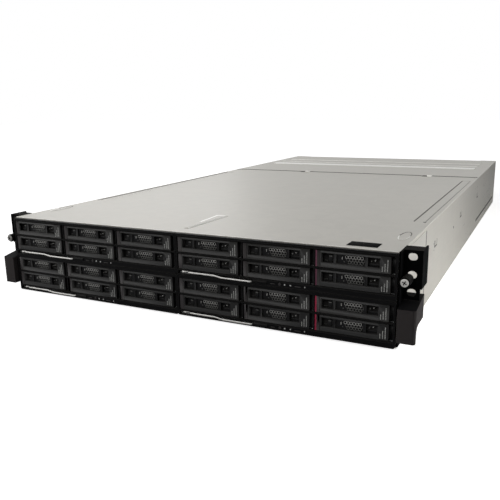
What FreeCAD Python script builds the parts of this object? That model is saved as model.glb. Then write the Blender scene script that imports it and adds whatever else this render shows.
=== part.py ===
import FreeCAD, Part
import math
import os

# Two-unit rack enclosure with four half-width compute nodes and six small drives in each node.
# X runs to the right, Y to the rear and Z up. Sizes are in millimetres. While the pieces are made,
# Y counts from the plane of the node fronts. The finished pieces move so that the origin lies under
# the middle of the whole object.

# Rack standard
ear_span = 482.6  # across the outer edges of the two ears
ear_reach = 17.8  # each ear past the side of the chassis
rack_slot_inset = 8.75  # from the ear's outer edge to the middle of its slots
rack_slot_pitch = 15.875  # between neighbouring slots of one ear
rack_slot_width = 8.0
rack_slot_height = 6.6
rack_slots = 3

# Enclosure
chassis_height = 87.0
sheet = 1.0  # floor, walls, shelves and covers
front_setback = 4.0  # the sheet metal starts this far behind the node fronts
slide_gap = 0.3  # room around every unit that slides in a bay
cover_split_inset = 6.7  # the two covers meet this far ahead of the node rears
cover_gap = 0.5
hook_spots = (180.0, 374.0, 565.0)  # lances on the side walls, from the node fronts
hook_height = 57.5
hook_size = 8.0
hook_slit = 1.5
groove_height = 14.0  # long groove low on the rear of each side wall
groove_width = 5.0
groove_depth = 0.5
groove_start = 566.0
groove_rear_inset = 20.0
doubler_rear = 118.0  # strengthening plate behind each ear ends here
doubler_margin = 2.0

# Pressed marks on the covers
press_rise = 0.8
press_sink = 0.5
press_slope = 1.2
edge_press_inset = 5.5  # long sunk strips beside the cover's edges
edge_press_width = 13.0
edge_press_start = 144.0
edge_press_end_inset = 50.0
mark_width = 14.0  # tapered pressed mark in the middle of the front
mark_tip_width = 5.0
mark_start = 21.0
mark_length = 77.0
rib_insets = (82.0, 130.0, 178.0)  # cross ribs of the rear cover, from its rear edge
rib_width = 22.0
rib_end_inset = 20.0
rear_notch_depth = 6.0
rear_notch_margin = 30.0
tongue_spots = (-79.0, 141.0)
tongue_width = 15.0
tongue_reach = 8.0

# Rack ears
ear_sheet = 1.5
ear_setback = 13.0  # front of the flange behind the node fronts
ear_top = 87.6
ear_bottom = 2.0
ear_return = 21.5  # fold at the outer edge
ear_top_return = 16.0  # fold along the top
ear_lip = 1.4  # the leg wraps this far ahead of the side wall's front edge
ear_lip_cover = 0.4  # and covers this much of it
ear_flange_bottom = 43.4
ear_low_inset = 1.6  # the flange is this much narrower below its step
ear_step_drop = 28.1  # step below the highest slot
slot_top_inset = 5.4  # highest rack slot below the top of the enclosure
screw_drop = 19.4  # captive screw below the highest slot
knob_radius = 4.4
knob_gap = 0.2  # between the captive screw's knob and the leg of the ear
knob_flutes = 18
screw_head_radius = 3.4
screw_head_rise = 1.4
knob_length = 14.4

# Ear housings
housing_proud = 5.0  # ahead of the node fronts
housing_rear = 28.0
housing_edge_inset = 0.4  # in from the ear's outer edge
housing_bottom = 9.0
housing_front_top = 39.4
housing_rear_top = 45.4
housing_rear_bottom = 23.8
housing_skirt = 4.6
housing_sweep = 8.0  # radius of the hollow sweep behind the skirt
housing_cheek = 11.0  # depth of the inner side, which has no sweep
housing_wall = 2.0
housing_round = 2.5

# Compute nodes
node_depth = 563.0
tray_sheet = 1.0
bezel_depth = 3.7
bezel_gap = 0.4  # between neighbouring bezels
bezel_round = 1.5
strip_height = 5.2  # from the tray's underside to the floor of the drive cells
cage_sheet = 1.2
column_wall = 0.8
cage_headroom = 1.0
columns = 3
rows = 2

# Node lever
pivot_inset = 5.2  # from the tray's left side
pivot_depth = 6.2
pin_radius = 2.0
pin_clearance = 0.15
eye_radius = 3.8
eye_sides = 16
lever_length = 79.5
lever_sheet = 1.4
lever_proud = 1.0  # ahead of the bezel
lever_play = 0.3
bend_start = 38.0
bend_length = 9.0
lever_tip = 2.5
catch_gap = 1.5
catch_length = 14.0
catch_rise = 1.2

# Power button
button_offset = 13.4  # from the end of the catch
button_radius = 1.3
button_clearance = 0.3
button_sides = 12
button_proud = 0.5
button_length = 7.0

# Drives
drive_gap = 0.35  # beside a carrier
face_gap = 0.3  # above and below a carrier
rail = 1.0
rail_taper = 6.0
rail_past_disk = 2.0
handle_depth = 2.6
handle_margin = 0.4
handle_start = 5.0
handle_end_inset = 3.7
ridge_height = 3.0
ridge_rise = 0.6
lip_height = 1.8
beam_depth = 7.0
end_recess = 3.0  # the dark right end of each front lies this far back
latch_start = 0.8
latch_gap = 0.4
window_bottom = 3.8
window_top_inset = 2.6
window_divider = 2.6  # beside the mesh window
small_window = 10.4
mesh_window = 25.7
window_start = 1.6  # from the handle's left end
disk_length = 100.2
disk_margin = 0.4
plug_gap = 0.3
plug_depth = 6.0
plug_width = 44.0
plug_height = 5.0

# Node electronics
board_thickness = 1.6
backplane_margin = 2.0
vent_height = 4.0
spacer_height = 4.0
spacer_radius = 3.0
spacer_sides = 6
spacer_inset = 14.0
board_margin = 3.0
board_front_gap = 22.0
board_rear_gap = 12.0
inner_headroom = 4.0
module_length = 133.0
module_thickness = 3.0
module_pitch = 9.0
modules_per_side = 4
module_sink_gap = 7.0
zone_gap = 22.0
sink_width = 78.0
sink_length = 104.0
sink_base = 4.0
fin_count = 7
fin_thickness = 2.2
node_plug_width = 60.0
node_plug_height = 14.0
node_plug_depth = 24.0

# Behind the nodes
midplane_gap = 4.0
midplane_thickness = 3.0
midplane_window_width = 58.0
midplane_window_margin = 7.0
fan_plenum = 18.0
fan_count = 4
fan_headroom = 5.0
fan_depth = 38.0
fan_rim = 1.5
fan_tip_gap = 1.0
stator_radius = 14.0
stator_depth = 9.0
strut_width = 4.0
strut_depth = 3.0
hub_radius = 15.0
hub_sides = 16
bore_sides = 24
hub_inset = 2.0
rotor_gap = 0.5
shaft_radius = 2.0
shaft_length = 3.5
blade_count = 5
blade_thickness = 1.4
blade_pitch = 40.0  # degrees from the plane of rotation
blade_root_chord = 12.0
blade_tip_chord = 30.0
rear_plenum = 42.0

# Power supplies
psu_width = 76.0
psu_depth = 204.0
inlet_width = 27.0
inlet_height = 20.0
inlet_depth = 16.0
inlet_margin = 6.0
grille_width = 27.0
grille_slots = 5
grille_slot = 3.0
grille_bar = 2.0
grille_depth = 3.0
grille_margin = 6.0
handle_reach = 12.0
handle_strap = 3.0
handle_width = 8.0
handle_height = 30.0
psu_tab_width = 10.0
psu_tab_height = 5.0
psu_tab_reach = 6.0
psu_tab_margin = 3.0

# Input and output cage
slot_covers = 8
slot_cover_pitch = 20.32
slot_cover_width = 18.4
slot_cover_height = 78.0
slot_cover_sheet = 0.9
slot_window_width = 12.0
slot_window_margin = 6.0
slot_cover_margin = 8.0
module_box_width = 62.0
module_box_height = 32.0
module_box_depth = 60.0
module_box_margin = 6.0
module_box_proud = 1.2
socket_width = 12.2
socket_height = 9.0
socket_depth = 14.0
cage_socket_width = 14.4
cage_socket_height = 10.0
cage_socket_depth = 42.0
socket_pitch = 22.0

# Worked out from the sizes above
half_width = ear_span / 2 - ear_reach
cover_seat = chassis_height - sheet
bay_width = (2 * half_width - 3 * sheet) / 2
bay_height = (chassis_height - 3 * sheet) / 2
node_width = bay_width - 2 * slide_gap
node_height = bay_height - 2 * slide_gap
node_rear = bezel_depth + node_depth
cover_split = node_rear - cover_split_inset
cell_width = (node_width - 2 * tray_sheet - (columns - 1) * column_wall) / columns
cell_height = (node_height - strip_height - cage_headroom - rows * cage_sheet) / rows
carrier_width = cell_width - 2 * drive_gap
face_height = cell_height - 2 * face_gap
beam_rear = handle_depth + beam_depth
disk_rear = beam_rear + disk_length
backplane_front = disk_rear + plug_depth
backplane_rear = backplane_front + board_thickness
board_top = tray_sheet + spacer_height + board_thickness
board_front = backplane_rear + board_front_gap
board_rear = node_rear - board_rear_gap
slot_floor = tray_sheet - bezel_gap
slot_roof = strip_height - cage_sheet
catch_start = pivot_inset + lever_length + catch_gap
button_x = catch_start + catch_length + button_offset
button_z = (tray_sheet + slot_roof) / 2
midplane_front = node_rear + midplane_gap
midplane_rear = midplane_front + midplane_thickness
fan_front = midplane_rear + fan_plenum
fan_rear = fan_front + fan_depth
fan_size = cover_seat - sheet - fan_headroom
fan_bore = fan_size / 2 - fan_rim
fan_pitch = 2 * (half_width - sheet) / fan_count
psu_front = fan_rear + rear_plenum
chassis_rear = psu_front + psu_depth
psu_right = half_width - sheet - slide_gap
psu_left = psu_right - psu_width
psu_height = bay_height - 2 * slide_gap
psu_wall = psu_left - slide_gap - sheet
cage_left = -half_width + sheet + slide_gap
cage_right = psu_wall - slide_gap
cage_low = sheet + slide_gap
cage_high = cover_seat - slide_gap
highest_slot = chassis_height - slot_top_inset
middle_depth = (chassis_rear + handle_reach - housing_proud) / 2


def box(x, y, z):
    size = (x[1] - x[0], y[1] - y[0], z[1] - z[0])
    return Part.makeBox(*size, FreeCAD.Vector(x[0], y[0], z[0]))


def outline(points):
    return Part.Face(Part.makePolygon(points + points[:1]))


def plan_prism(points, z):
    """Extrudes an outline of (x, y) points upwards."""
    face = outline([FreeCAD.Vector(x, y, z[0]) for x, y in points])
    return face.extrude(FreeCAD.Vector(0, 0, z[1] - z[0]))


def front_prism(points, y):
    """Extrudes an outline of (x, z) points to the rear."""
    face = outline([FreeCAD.Vector(x, y[0], z) for x, z in points])
    return face.extrude(FreeCAD.Vector(0, y[1] - y[0], 0))


def side_prism(points, x):
    """Extrudes an outline of (y, z) points to the right."""
    face = outline([FreeCAD.Vector(x[0], y, z) for y, z in points])
    return face.extrude(FreeCAD.Vector(x[1] - x[0], 0, 0))


def rod(x, y, z, radius):
    """A round bar along Y, with its ends at the two values of y."""
    start = FreeCAD.Vector(x, y[0], z)
    return Part.makeCylinder(radius, y[1] - y[0], start, FreeCAD.Vector(0, 1, 0))


def ring(x, y, radius, sides):
    """Corners of a regular outline, for small round pieces and fluted ones."""
    turns = [2 * math.pi * i / sides for i in range(sides)]
    return [(x + radius * math.cos(a), y + radius * math.sin(a)) for a in turns]


def joined(first, *others):
    return first.fuse(list(others)).removeSplitter()


def channel(x, z, thickness):
    """Front outline of a trough of bent sheet, open at the top."""
    inner = (x[0] + thickness, x[1] - thickness)
    floor = z[0] + thickness
    return [
        (x[0], z[0]),
        (x[1], z[0]),
        (x[1], z[1]),
        (inner[1], z[1]),
        (inner[1], floor),
        (inner[0], floor),
        (inner[0], z[1]),
        (x[0], z[1]),
    ]


def pressed(points, rise):
    """A mark in a cover: an outline of (x, y) points whose sides lean in towards its flat."""
    middle_x = sum(x for x, y in points) / len(points)
    middle_y = sum(y for x, y in points) / len(points)
    lean = press_slope
    flat = [
        (x - math.copysign(lean, x - middle_x), y - math.copysign(lean, y - middle_y))
        for x, y in points
    ]
    wires = []
    for level, corners in ((chassis_height, points), (chassis_height + rise, flat)):
        loop = [FreeCAD.Vector(x, y, level) for x, y in corners]
        wires.append(Part.makePolygon(loop + loop[:1]))
    return Part.makeLoft(wires, True, True)


def rectangle(x, y):
    return [(x[0], y[0]), (x[1], y[0]), (x[1], y[1]), (x[0], y[1])]


def mirrored(solids):
    return [s.mirror(FreeCAD.Vector(0, 0, 0), FreeCAD.Vector(1, 0, 0)) for s in solids]


def moved(solids, x, z):
    return [s.translated(FreeCAD.Vector(x, 0, z)) for s in solids]


def save(node, solids):
    """Writes one node, moved so that the origin lies under the middle of the object."""
    placed = [s.translated(FreeCAD.Vector(0, -middle_depth, 0)) for s in solids]
    shape = placed[0] if len(placed) == 1 else Part.makeCompound(placed)
    shape.exportStep("parts/" + node + ".step")


# Enclosure


def hook_slits(side):
    """The U-shaped slits around the lanced hooks of one side wall."""
    wall = (half_width - 2 * sheet, half_width + sheet)
    x = wall if side > 0 else (-wall[1], -wall[0])
    slits = []
    for spot in hook_spots:
        left = spot - hook_size / 2
        right = spot + hook_size / 2
        top = hook_height + hook_size / 2
        low = hook_height - hook_size / 2
        points = [
            (left, top),
            (left, low),
            (right, low),
            (right, top),
            (right - hook_slit, top),
            (right - hook_slit, low + hook_slit),
            (left + hook_slit, low + hook_slit),
            (left + hook_slit, top),
        ]
        slits.append(side_prism(points, x))
    return slits


def groove(side):
    x = (half_width - groove_depth, half_width + sheet)
    x = x if side > 0 else (-x[1], -x[0])
    y = (groove_start, chassis_rear - groove_rear_inset)
    return box(x, y, (groove_height - groove_width / 2, groove_height + groove_width / 2))


def chassis_shell():
    depth = (front_setback, chassis_rear)
    floor = box((-half_width, half_width), depth, (0, sheet))
    walls = []
    for side in (-1, 1):
        x = sorted((side * half_width, side * (half_width - sheet)))
        wall = box(x, depth, (sheet, cover_seat))
        walls += wall.cut(hook_slits(side) + [groove(side)]).Solids

    shelf = (sheet + bay_height, 2 * sheet + bay_height)
    reach = half_width - sheet
    core = sheet / 2
    cross = [
        (-core, sheet),
        (core, sheet),
        (core, shelf[0]),
        (reach, shelf[0]),
        (reach, shelf[1]),
        (core, shelf[1]),
        (core, cover_seat),
        (-core, cover_seat),
        (-core, shelf[1]),
        (-reach, shelf[1]),
        (-reach, shelf[0]),
        (-core, shelf[0]),
    ]
    divider = front_prism(cross, (front_setback, node_rear))

    bay = [
        (psu_wall, sheet),
        (psu_wall + sheet, sheet),
        (psu_wall + sheet, shelf[0]),
        (reach, shelf[0]),
        (reach, shelf[1]),
        (psu_wall + sheet, shelf[1]),
        (psu_wall + sheet, cover_seat),
        (psu_wall, cover_seat),
    ]
    psu_bay = front_prism(bay, (psu_front, chassis_rear))

    doubler = box(
        (half_width, half_width + sheet),
        (ear_setback + ear_sheet, doubler_rear),
        (doubler_margin, cover_seat - doubler_margin),
    )
    return [floor, divider, psu_bay, doubler] + walls + mirrored([doubler])


def front_cover():
    plate = box(
        (-half_width, half_width), (front_setback, cover_split), (cover_seat, chassis_height)
    )
    outer = half_width - edge_press_inset
    strip_x = (outer - edge_press_width, outer)
    strip_y = (edge_press_start, cover_split - edge_press_end_inset)
    strip = pressed(rectangle(strip_x, strip_y), -press_sink)
    tip = mark_tip_width / 2
    tail = mark_width / 2
    mark_end = mark_start + mark_length
    mark = pressed(
        [(-tip, mark_start), (tip, mark_start), (tail, mark_end), (-tail, mark_end)], press_rise
    )
    return joined(plate.cut([strip] + mirrored([strip])), mark).Solids


def rear_cover():
    front = cover_split + cover_gap
    plate = box(
        (-half_width, half_width), (front, chassis_rear), (cover_seat, chassis_height)
    )
    notch = half_width - rear_notch_margin
    plate = plate.cut(
        box(
            (-notch, notch),
            (chassis_rear - rear_notch_depth, chassis_rear + sheet),
            (cover_seat - sheet, chassis_height + sheet),
        )
    )
    reach = half_width - rib_end_inset
    raised = []
    for inset in rib_insets:
        middle = chassis_rear - inset
        rib_y = (middle - rib_width / 2, middle + rib_width / 2)
        raised.append(pressed(rectangle((-reach, reach), rib_y), press_rise))
    for spot in tongue_spots:
        raised.append(
            box(
                (spot - tongue_width / 2, spot + tongue_width / 2),
                (cover_split - tongue_reach, front + tongue_reach),
                (chassis_height, chassis_height + press_rise),
            )
        )
    return joined(plate, *raised).Solids


# Ears


def rack_slot(x, z, y):
    """An upright-sided slot with round ends, cut through the ear's flange."""
    end = rack_slot_height / 2
    run = (rack_slot_width - rack_slot_height) / 2
    middle = box((x - run, x + run), y, (z - end, z + end))
    return middle.fuse([rod(x - run, y, z, end), rod(x + run, y, z, end)])


def ear():
    """The right ear: a folded plate with its leg on the chassis, and its captive screw."""
    outer = ear_span / 2
    leg = half_width + ear_sheet
    back = ear_setback + ear_sheet
    fold = back + ear_return
    lip = front_setback - ear_lip
    plan = [
        (half_width, front_setback),
        (half_width - ear_lip_cover, front_setback),
        (half_width - ear_lip_cover, lip),
        (leg, lip),
        (leg, ear_setback),
        (outer, ear_setback),
        (outer, fold),
        (outer - ear_sheet, fold),
        (outer - ear_sheet, back),
        (half_width, back),
    ]
    plate = plan_prism(plan, (ear_bottom, ear_top))
    lid_y = (ear_setback, ear_setback + ear_top_return)
    lid = box((half_width, outer), lid_y, (ear_top - ear_sheet, ear_top))
    plate = joined(plate, lid)
    through = (ear_setback - sheet, fold + sheet)
    step = highest_slot - ear_step_drop
    cuts = [
        box((leg, outer + sheet), through, (0, ear_flange_bottom)),
        box((outer - ear_low_inset, outer + sheet), through, (0, step)),
    ]
    for i in range(rack_slots):
        z = highest_slot - i * rack_slot_pitch
        cuts.append(rack_slot(outer - rack_slot_inset, z, through))
    plate = plate.cut(cuts)

    front = ear_setback - knob_length
    x = leg + knob_gap + knob_radius
    z = highest_slot - screw_drop
    knob = front_prism(ring(x, z, knob_radius, knob_flutes), (front, ear_setback))
    head_y = (front - screw_head_rise, front)
    head = front_prism(ring(x, z, screw_head_radius, knob_flutes), head_y)
    return plate.Solids + [knob, head]


def housing_side():
    """Side outline of an ear housing, with the hollow sweep behind its skirt."""
    front = -housing_proud
    toe = front + housing_skirt
    hollow = housing_sweep * (1 - math.sqrt(0.5))
    corners = [
        FreeCAD.Vector(0, toe, housing_rear_bottom - housing_sweep),
        FreeCAD.Vector(0, toe, housing_bottom),
        FreeCAD.Vector(0, front, housing_bottom),
        FreeCAD.Vector(0, front, housing_front_top),
        FreeCAD.Vector(0, housing_rear, housing_rear_top),
        FreeCAD.Vector(0, housing_rear, housing_rear_bottom),
        FreeCAD.Vector(0, toe + housing_sweep, housing_rear_bottom),
    ]
    edges = [Part.makeLine(a, b) for a, b in zip(corners, corners[1:])]
    middle = FreeCAD.Vector(0, toe + hollow, housing_rear_bottom - hollow)
    edges.append(Part.Arc(corners[-1], middle, corners[0]).toShape())
    return Part.Face(Part.Wire(edges))


def ear_housing():
    """The right ear's moulded cover: a shell that is open at its rear."""
    inner = half_width + ear_sheet
    outer = ear_span / 2 - housing_edge_inset
    wall = housing_wall
    front = -housing_proud
    body = housing_side().extrude(FreeCAD.Vector(outer - inner, 0, 0))
    body.translate(FreeCAD.Vector(inner, 0, 0))
    front_edges = [
        e
        for e in body.Edges
        if abs(e.BoundBox.YMin - front) < wall
        and abs(e.BoundBox.YMax - front) < wall
        and e.BoundBox.ZLength > wall
        and e.BoundBox.XMax > outer - wall
    ]
    body = body.makeFillet(housing_round, front_edges)
    cheek = box(
        (inner, inner + wall), (front, front + housing_cheek), (housing_bottom, housing_front_top)
    )
    hollow = side_prism(
        [
            (front + wall, housing_rear_bottom + wall),
            (front + wall, housing_front_top - wall),
            (housing_rear + wall, housing_rear_top - wall),
            (housing_rear + wall, housing_rear_bottom + wall),
        ],
        (inner + wall, outer - wall),
    )
    return joined(body, cheek).cut(hollow).Solids


# Compute nodes, in a frame of their own: X from the tray's left side, Z from its underside


def cell(column, row):
    """The X and Z limits of one drive cell. Row 0 is the lower one."""
    x = tray_sheet + column * (cell_width + column_wall)
    z = strip_height + row * (cell_height + cage_sheet)
    return (x, x + cell_width), (z, z + cell_height)


def all_cells():
    return [cell(column, row) for row in range(rows) for column in range(columns)]


def board_corners():
    x = (board_margin + spacer_inset, node_width - board_margin - spacer_inset)
    y = (board_front + spacer_inset, board_rear - spacer_inset)
    return rectangle(x, y)


def node_tray():
    """Floor and side walls, the shelves and posts of the drive cage, the pin and the spacers."""
    depth = (bezel_depth, node_rear)
    floor = box((0, node_width), depth, (0, tray_sheet))
    lever_room = box(
        (pivot_inset + bend_start - lever_tip, catch_start),
        (0, pivot_depth + lever_tip),
        (-tray_sheet, 2 * tray_sheet),
    )
    pieces = floor.cut(lever_room).Solids
    for x in ((0, tray_sheet), (node_width - tray_sheet, node_width)):
        pieces.append(box(x, depth, (tray_sheet, node_height)))

    cage_x = (tray_sheet, node_width - tray_sheet)
    cage_y = (bezel_depth, backplane_front)
    for row in range(rows + 1):
        top = strip_height + row * (cell_height + cage_sheet)
        pieces.append(box(cage_x, cage_y, (top - cage_sheet, top)))
    for row in range(rows):
        for column in range(columns - 1):
            x, z = cell(column, row)
            pieces.append(box((x[1], x[1] + column_wall), cage_y, z))

    pin = Part.makeCylinder(
        pin_radius,
        slot_roof - tray_sheet,
        FreeCAD.Vector(pivot_inset, pivot_depth, tray_sheet),
    )
    for x, y in board_corners():
        foot = ring(x, y, spacer_radius, spacer_sides)
        pieces.append(plan_prism(foot, (tray_sheet, tray_sheet + spacer_height)))
    return pieces + [pin]


def node_bezel():
    edge = (sheet + 2 * slide_gap - bezel_gap) / 2
    plate = box(
        (-edge, node_width + edge), (0, bezel_depth), (-edge, node_height + edge)
    )
    corners = [
        e for e in plate.Edges if e.BoundBox.YLength > bezel_depth / 2 and e.BoundBox.ZMax < edge
    ]
    corners = [e for e in corners if e.BoundBox.XLength < edge]
    plate = plate.makeFillet(bezel_round, corners)
    through = (-bezel_depth, 2 * bezel_depth)
    cuts = [box(x, through, z) for x, z in all_cells()]
    cuts.append(
        box(
            (pivot_inset - eye_radius - lever_play, pivot_inset + lever_length + lever_play),
            through,
            (slot_floor, slot_roof),
        )
    )
    button_hole = ring(button_x, button_z, button_radius + button_clearance, button_sides)
    cuts.append(front_prism(button_hole, through))
    plate = plate.cut(cuts)
    catch_y = [
        (0, slot_floor),
        (-catch_rise, slot_floor + catch_rise),
        (-catch_rise, slot_roof - catch_rise),
        (0, slot_roof),
    ]
    catch = side_prism(catch_y, (catch_start, catch_start + catch_length))
    return joined(plate, catch).Solids


def heat_sink(x, y):
    """A finned block, extruded from its comb outline. x and y are its middle."""
    low = board_top
    high = node_height - inner_headroom
    left = x - sink_width / 2
    step = (sink_width - fin_thickness) / (fin_count - 1)
    points = [(left + sink_width, low), (left, low)]
    for i in range(fin_count):
        fin = left + i * step
        if i:
            points.append((fin, low + sink_base))
        points.append((fin, high))
        points.append((fin + fin_thickness, high))
        if i < fin_count - 1:
            points.append((fin + fin_thickness, low + sink_base))
    return front_prism(points, (y - sink_length / 2, y + sink_length / 2))


def memory_modules(x, y):
    """The two banks of memory beside a heat sink."""
    bank = []
    for side in (-1, 1):
        for i in range(modules_per_side):
            middle = x + side * (sink_width / 2 + module_sink_gap + i * module_pitch)
            bank.append(
                box(
                    (middle - module_thickness / 2, middle + module_thickness / 2),
                    (y - module_length / 2, y + module_length / 2),
                    (board_top, node_height - inner_headroom),
                )
            )
    return bank


def backplane():
    x = (tray_sheet + backplane_margin, node_width - tray_sheet - backplane_margin)
    z = (strip_height, strip_height + rows * (cell_height + cage_sheet))
    plate = box(x, (backplane_front, backplane_rear), z)
    vents = []
    plugs = []
    for cell_x, cell_z in all_cells():
        middle = (cell_x[0] + cell_x[1]) / 2
        top = cell_z[1]
        vent_x = (middle - plug_width / 2, middle + plug_width / 2)
        if top > node_height / 2:
            vents.append(box(vent_x, (0, node_rear), (top - vent_height, top)))
        plug_z = (cell_z[0] + disk_margin, cell_z[0] + disk_margin + plug_height)
        plugs.append(box(vent_x, (disk_rear + plug_gap, backplane_front), plug_z))
    return plate.cut(vents).Solids + plugs


def node_electronics():
    board = box(
        (tray_sheet + board_margin, node_width - tray_sheet - board_margin),
        (board_front, board_rear),
        (board_top - board_thickness, board_top),
    )
    pieces = [board]
    middle = (board_front + board_rear) / 2
    for side in (-1, 1):
        y = middle + side * (module_length + zone_gap) / 2
        pieces.append(heat_sink(node_width / 2, y))
        pieces += memory_modules(node_width / 2, y)
    plug = box(
        (node_width / 2 - node_plug_width / 2, node_width / 2 + node_plug_width / 2),
        (node_rear - node_plug_depth, node_rear),
        (board_top, board_top + node_plug_height),
    )
    return pieces + backplane() + [plug]


def node_lever():
    """A strip of sheet with a step half way, round at its pivot end."""
    high = slot_roof - lever_play
    low = slot_floor + lever_play
    end = pivot_inset + lever_length
    start = pivot_inset - eye_radius
    shoulder = pivot_inset + pivot_depth  # the narrow neck clears the bezel when the lever is open
    bend = pivot_inset + bend_start
    bent = bend + bend_length
    strip = [
        (start, high - lever_sheet),
        (bend, high - lever_sheet),
        (bent, low),
        (end, low),
        (end, low + lever_sheet),
        (bent, low + lever_sheet),
        (bend, high),
        (start, high),
    ]
    strip = front_prism(strip, (-lever_proud, pivot_depth + eye_radius))
    z = (-strip_height, 2 * strip_height)
    eye = plan_prism(ring(pivot_inset, pivot_depth, eye_radius, eye_sides), z)
    bore_radius = (pin_radius + pin_clearance) / math.cos(math.pi / eye_sides)
    bore = plan_prism(ring(pivot_inset, pivot_depth, bore_radius, eye_sides), z)
    arm = plan_prism(
        [
            (pivot_inset, pivot_depth - eye_radius),
            (shoulder, pivot_depth - eye_radius),
            (shoulder + lever_tip, -lever_proud),
            (end - lever_tip, -lever_proud),
            (end, lever_tip - lever_proud),
            (end, pivot_depth - lever_tip),
            (end - lever_tip, pivot_depth),
            (pivot_inset + 2 * eye_radius, pivot_depth),
            (pivot_inset, pivot_depth + eye_radius),
        ],
        z,
    )
    return strip.common(eye.fuse(arm)).cut(bore).Solids


def power_button():
    cap = ring(button_x, button_z, button_radius, button_sides)
    return [front_prism(cap, (-button_proud, button_length - button_proud))]


def drive(column, row):
    """One drive in its carrier, with the handle and the release latch on its front."""
    cell_x, cell_z = cell(column, row)
    left = cell_x[0] + drive_gap
    right = left + carrier_width
    low = cell_z[0] + face_gap
    high = low + face_height
    end = disk_rear + rail_past_disk
    handle = (left + handle_start, right - handle_end_inset)
    plan = [
        (left, handle_depth),
        (handle[1], handle_depth),
        (handle[1], handle_depth + end_recess),
        (right, handle_depth + end_recess),
        (right, end - rail_taper),
        (right - rail, end),
        (right - rail, beam_rear),
        (left + rail, beam_rear),
        (left + rail, end),
        (left, end - rail_taper),
    ]
    carrier = plan_prism(plan, (low, high))
    disk = box(
        (left + rail, right - rail), (beam_rear, disk_rear), (low + disk_margin, high - disk_margin)
    )

    bottom = low + handle_margin
    top = high - handle_margin
    grip = side_prism(
        [
            (handle_depth, bottom),
            (handle_margin, bottom),
            (handle_margin, bottom + ridge_height - ridge_rise),
            (handle_margin + ridge_rise, bottom + ridge_height),
            (handle_margin + ridge_rise, top - lip_height),
            (handle_margin, top - lip_height + ridge_rise),
            (handle_margin, top),
            (handle_depth, top),
        ],
        handle,
    )
    windows = []
    x = handle[0] + window_start
    for width in (small_window, mesh_window, small_window):
        z = (low + window_bottom, high - window_top_inset)
        windows.append(box((x, x + width), (-handle_depth, beam_rear), z))
        x += width + window_divider
    grip = grip.cut(windows)

    latch = side_prism(
        [
            (handle_depth, bottom),
            (handle_margin + ridge_rise, bottom),
            (handle_margin, bottom + ridge_height),
            (handle_margin, top),
            (handle_depth, top),
        ],
        (left + latch_start, handle[0] - latch_gap),
    )
    return [carrier, disk] + grip.Solids + [latch]


# Behind the nodes


def midplane():
    reach = half_width - sheet
    plate = box(
        (-reach, reach), (midplane_front, midplane_rear), (sheet, cover_seat - slide_gap)
    )
    windows = []
    plugs = []
    for x, z in bay_origins():
        middle = x + node_width / 2
        for side in (-1, 1):
            near = middle + side * (node_plug_width / 2 + midplane_window_margin)
            far = near + side * midplane_window_width
            windows.append(
                box(
                    (min(near, far), max(near, far)),
                    (node_rear, fan_front),
                    (z + midplane_window_margin, z + node_height - midplane_window_margin),
                )
            )
        plugs.append(
            box(
                (middle - node_plug_width / 2, middle + node_plug_width / 2),
                (node_rear + plug_gap, midplane_front),
                (z + board_top, z + board_top + node_plug_height),
            )
        )
    return plate.cut(windows).Solids + plugs


def fan_middle(index):
    return (index - (fan_count - 1) / 2) * fan_pitch, sheet + fan_size / 2


def fan_housing(index):
    """A square fan frame with a round bore, and struts that carry the motor."""
    x, z = fan_middle(index)
    half = fan_size / 2
    depth = (fan_front, fan_rear)
    bore = front_prism(ring(x, z, fan_bore, bore_sides), depth)
    frame = box((x - half, x + half), depth, (z - half, z + half)).cut(bore)
    struts = (fan_rear, fan_rear + strut_depth)
    edge = strut_width / 2
    bars = [
        box((x - half, x + half), struts, (z - edge, z + edge)),
        box((x - edge, x + edge), struts, (z - half, z + half)),
    ]
    motor = front_prism(
        ring(x, z, stator_radius, hub_sides), (fan_rear - stator_depth, fan_rear + strut_depth)
    )
    socket = (fan_rear - stator_depth, fan_rear - stator_depth + shaft_length)
    bearing_radius = (shaft_radius + pin_clearance) / math.cos(math.pi / hub_sides)
    bearing = front_prism(ring(x, z, bearing_radius, hub_sides), socket)
    return frame.Solids + joined(motor, *bars).cut(bearing).Solids


def fan_rotor(index):
    """A hub with slanted blades that widen outwards, and a short shaft."""
    x, z = fan_middle(index)
    hub_y = (fan_front + hub_inset, fan_rear - stator_depth - rotor_gap)
    middle = (hub_y[0] + hub_y[1]) / 2
    hub = front_prism(ring(x, z, hub_radius, hub_sides), hub_y)
    shaft = rod(x, (hub_y[1], hub_y[1] + shaft_length), z, shaft_radius)
    tip = fan_bore - fan_tip_gap
    rise = math.sqrt(tip * tip - (blade_tip_chord / 2) ** 2)
    root = hub_radius - 2 * blade_thickness
    blade = front_prism(
        [
            (x - blade_root_chord / 2, z + root),
            (x + blade_root_chord / 2, z + root),
            (x + blade_tip_chord / 2, z + rise),
            (x - blade_tip_chord / 2, z + rise),
        ],
        (middle - blade_thickness / 2, middle + blade_thickness / 2),
    )
    centre = FreeCAD.Vector(x, middle, z)
    blade.rotate(centre, FreeCAD.Vector(0, 0, 1), blade_pitch)
    blades = []
    for i in range(blade_count):
        turned = blade.copy()
        turned.rotate(centre, FreeCAD.Vector(0, 1, 0), 360 * i / blade_count)
        blades.append(turned)
    return joined(hub, shaft, *blades).Solids


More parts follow.
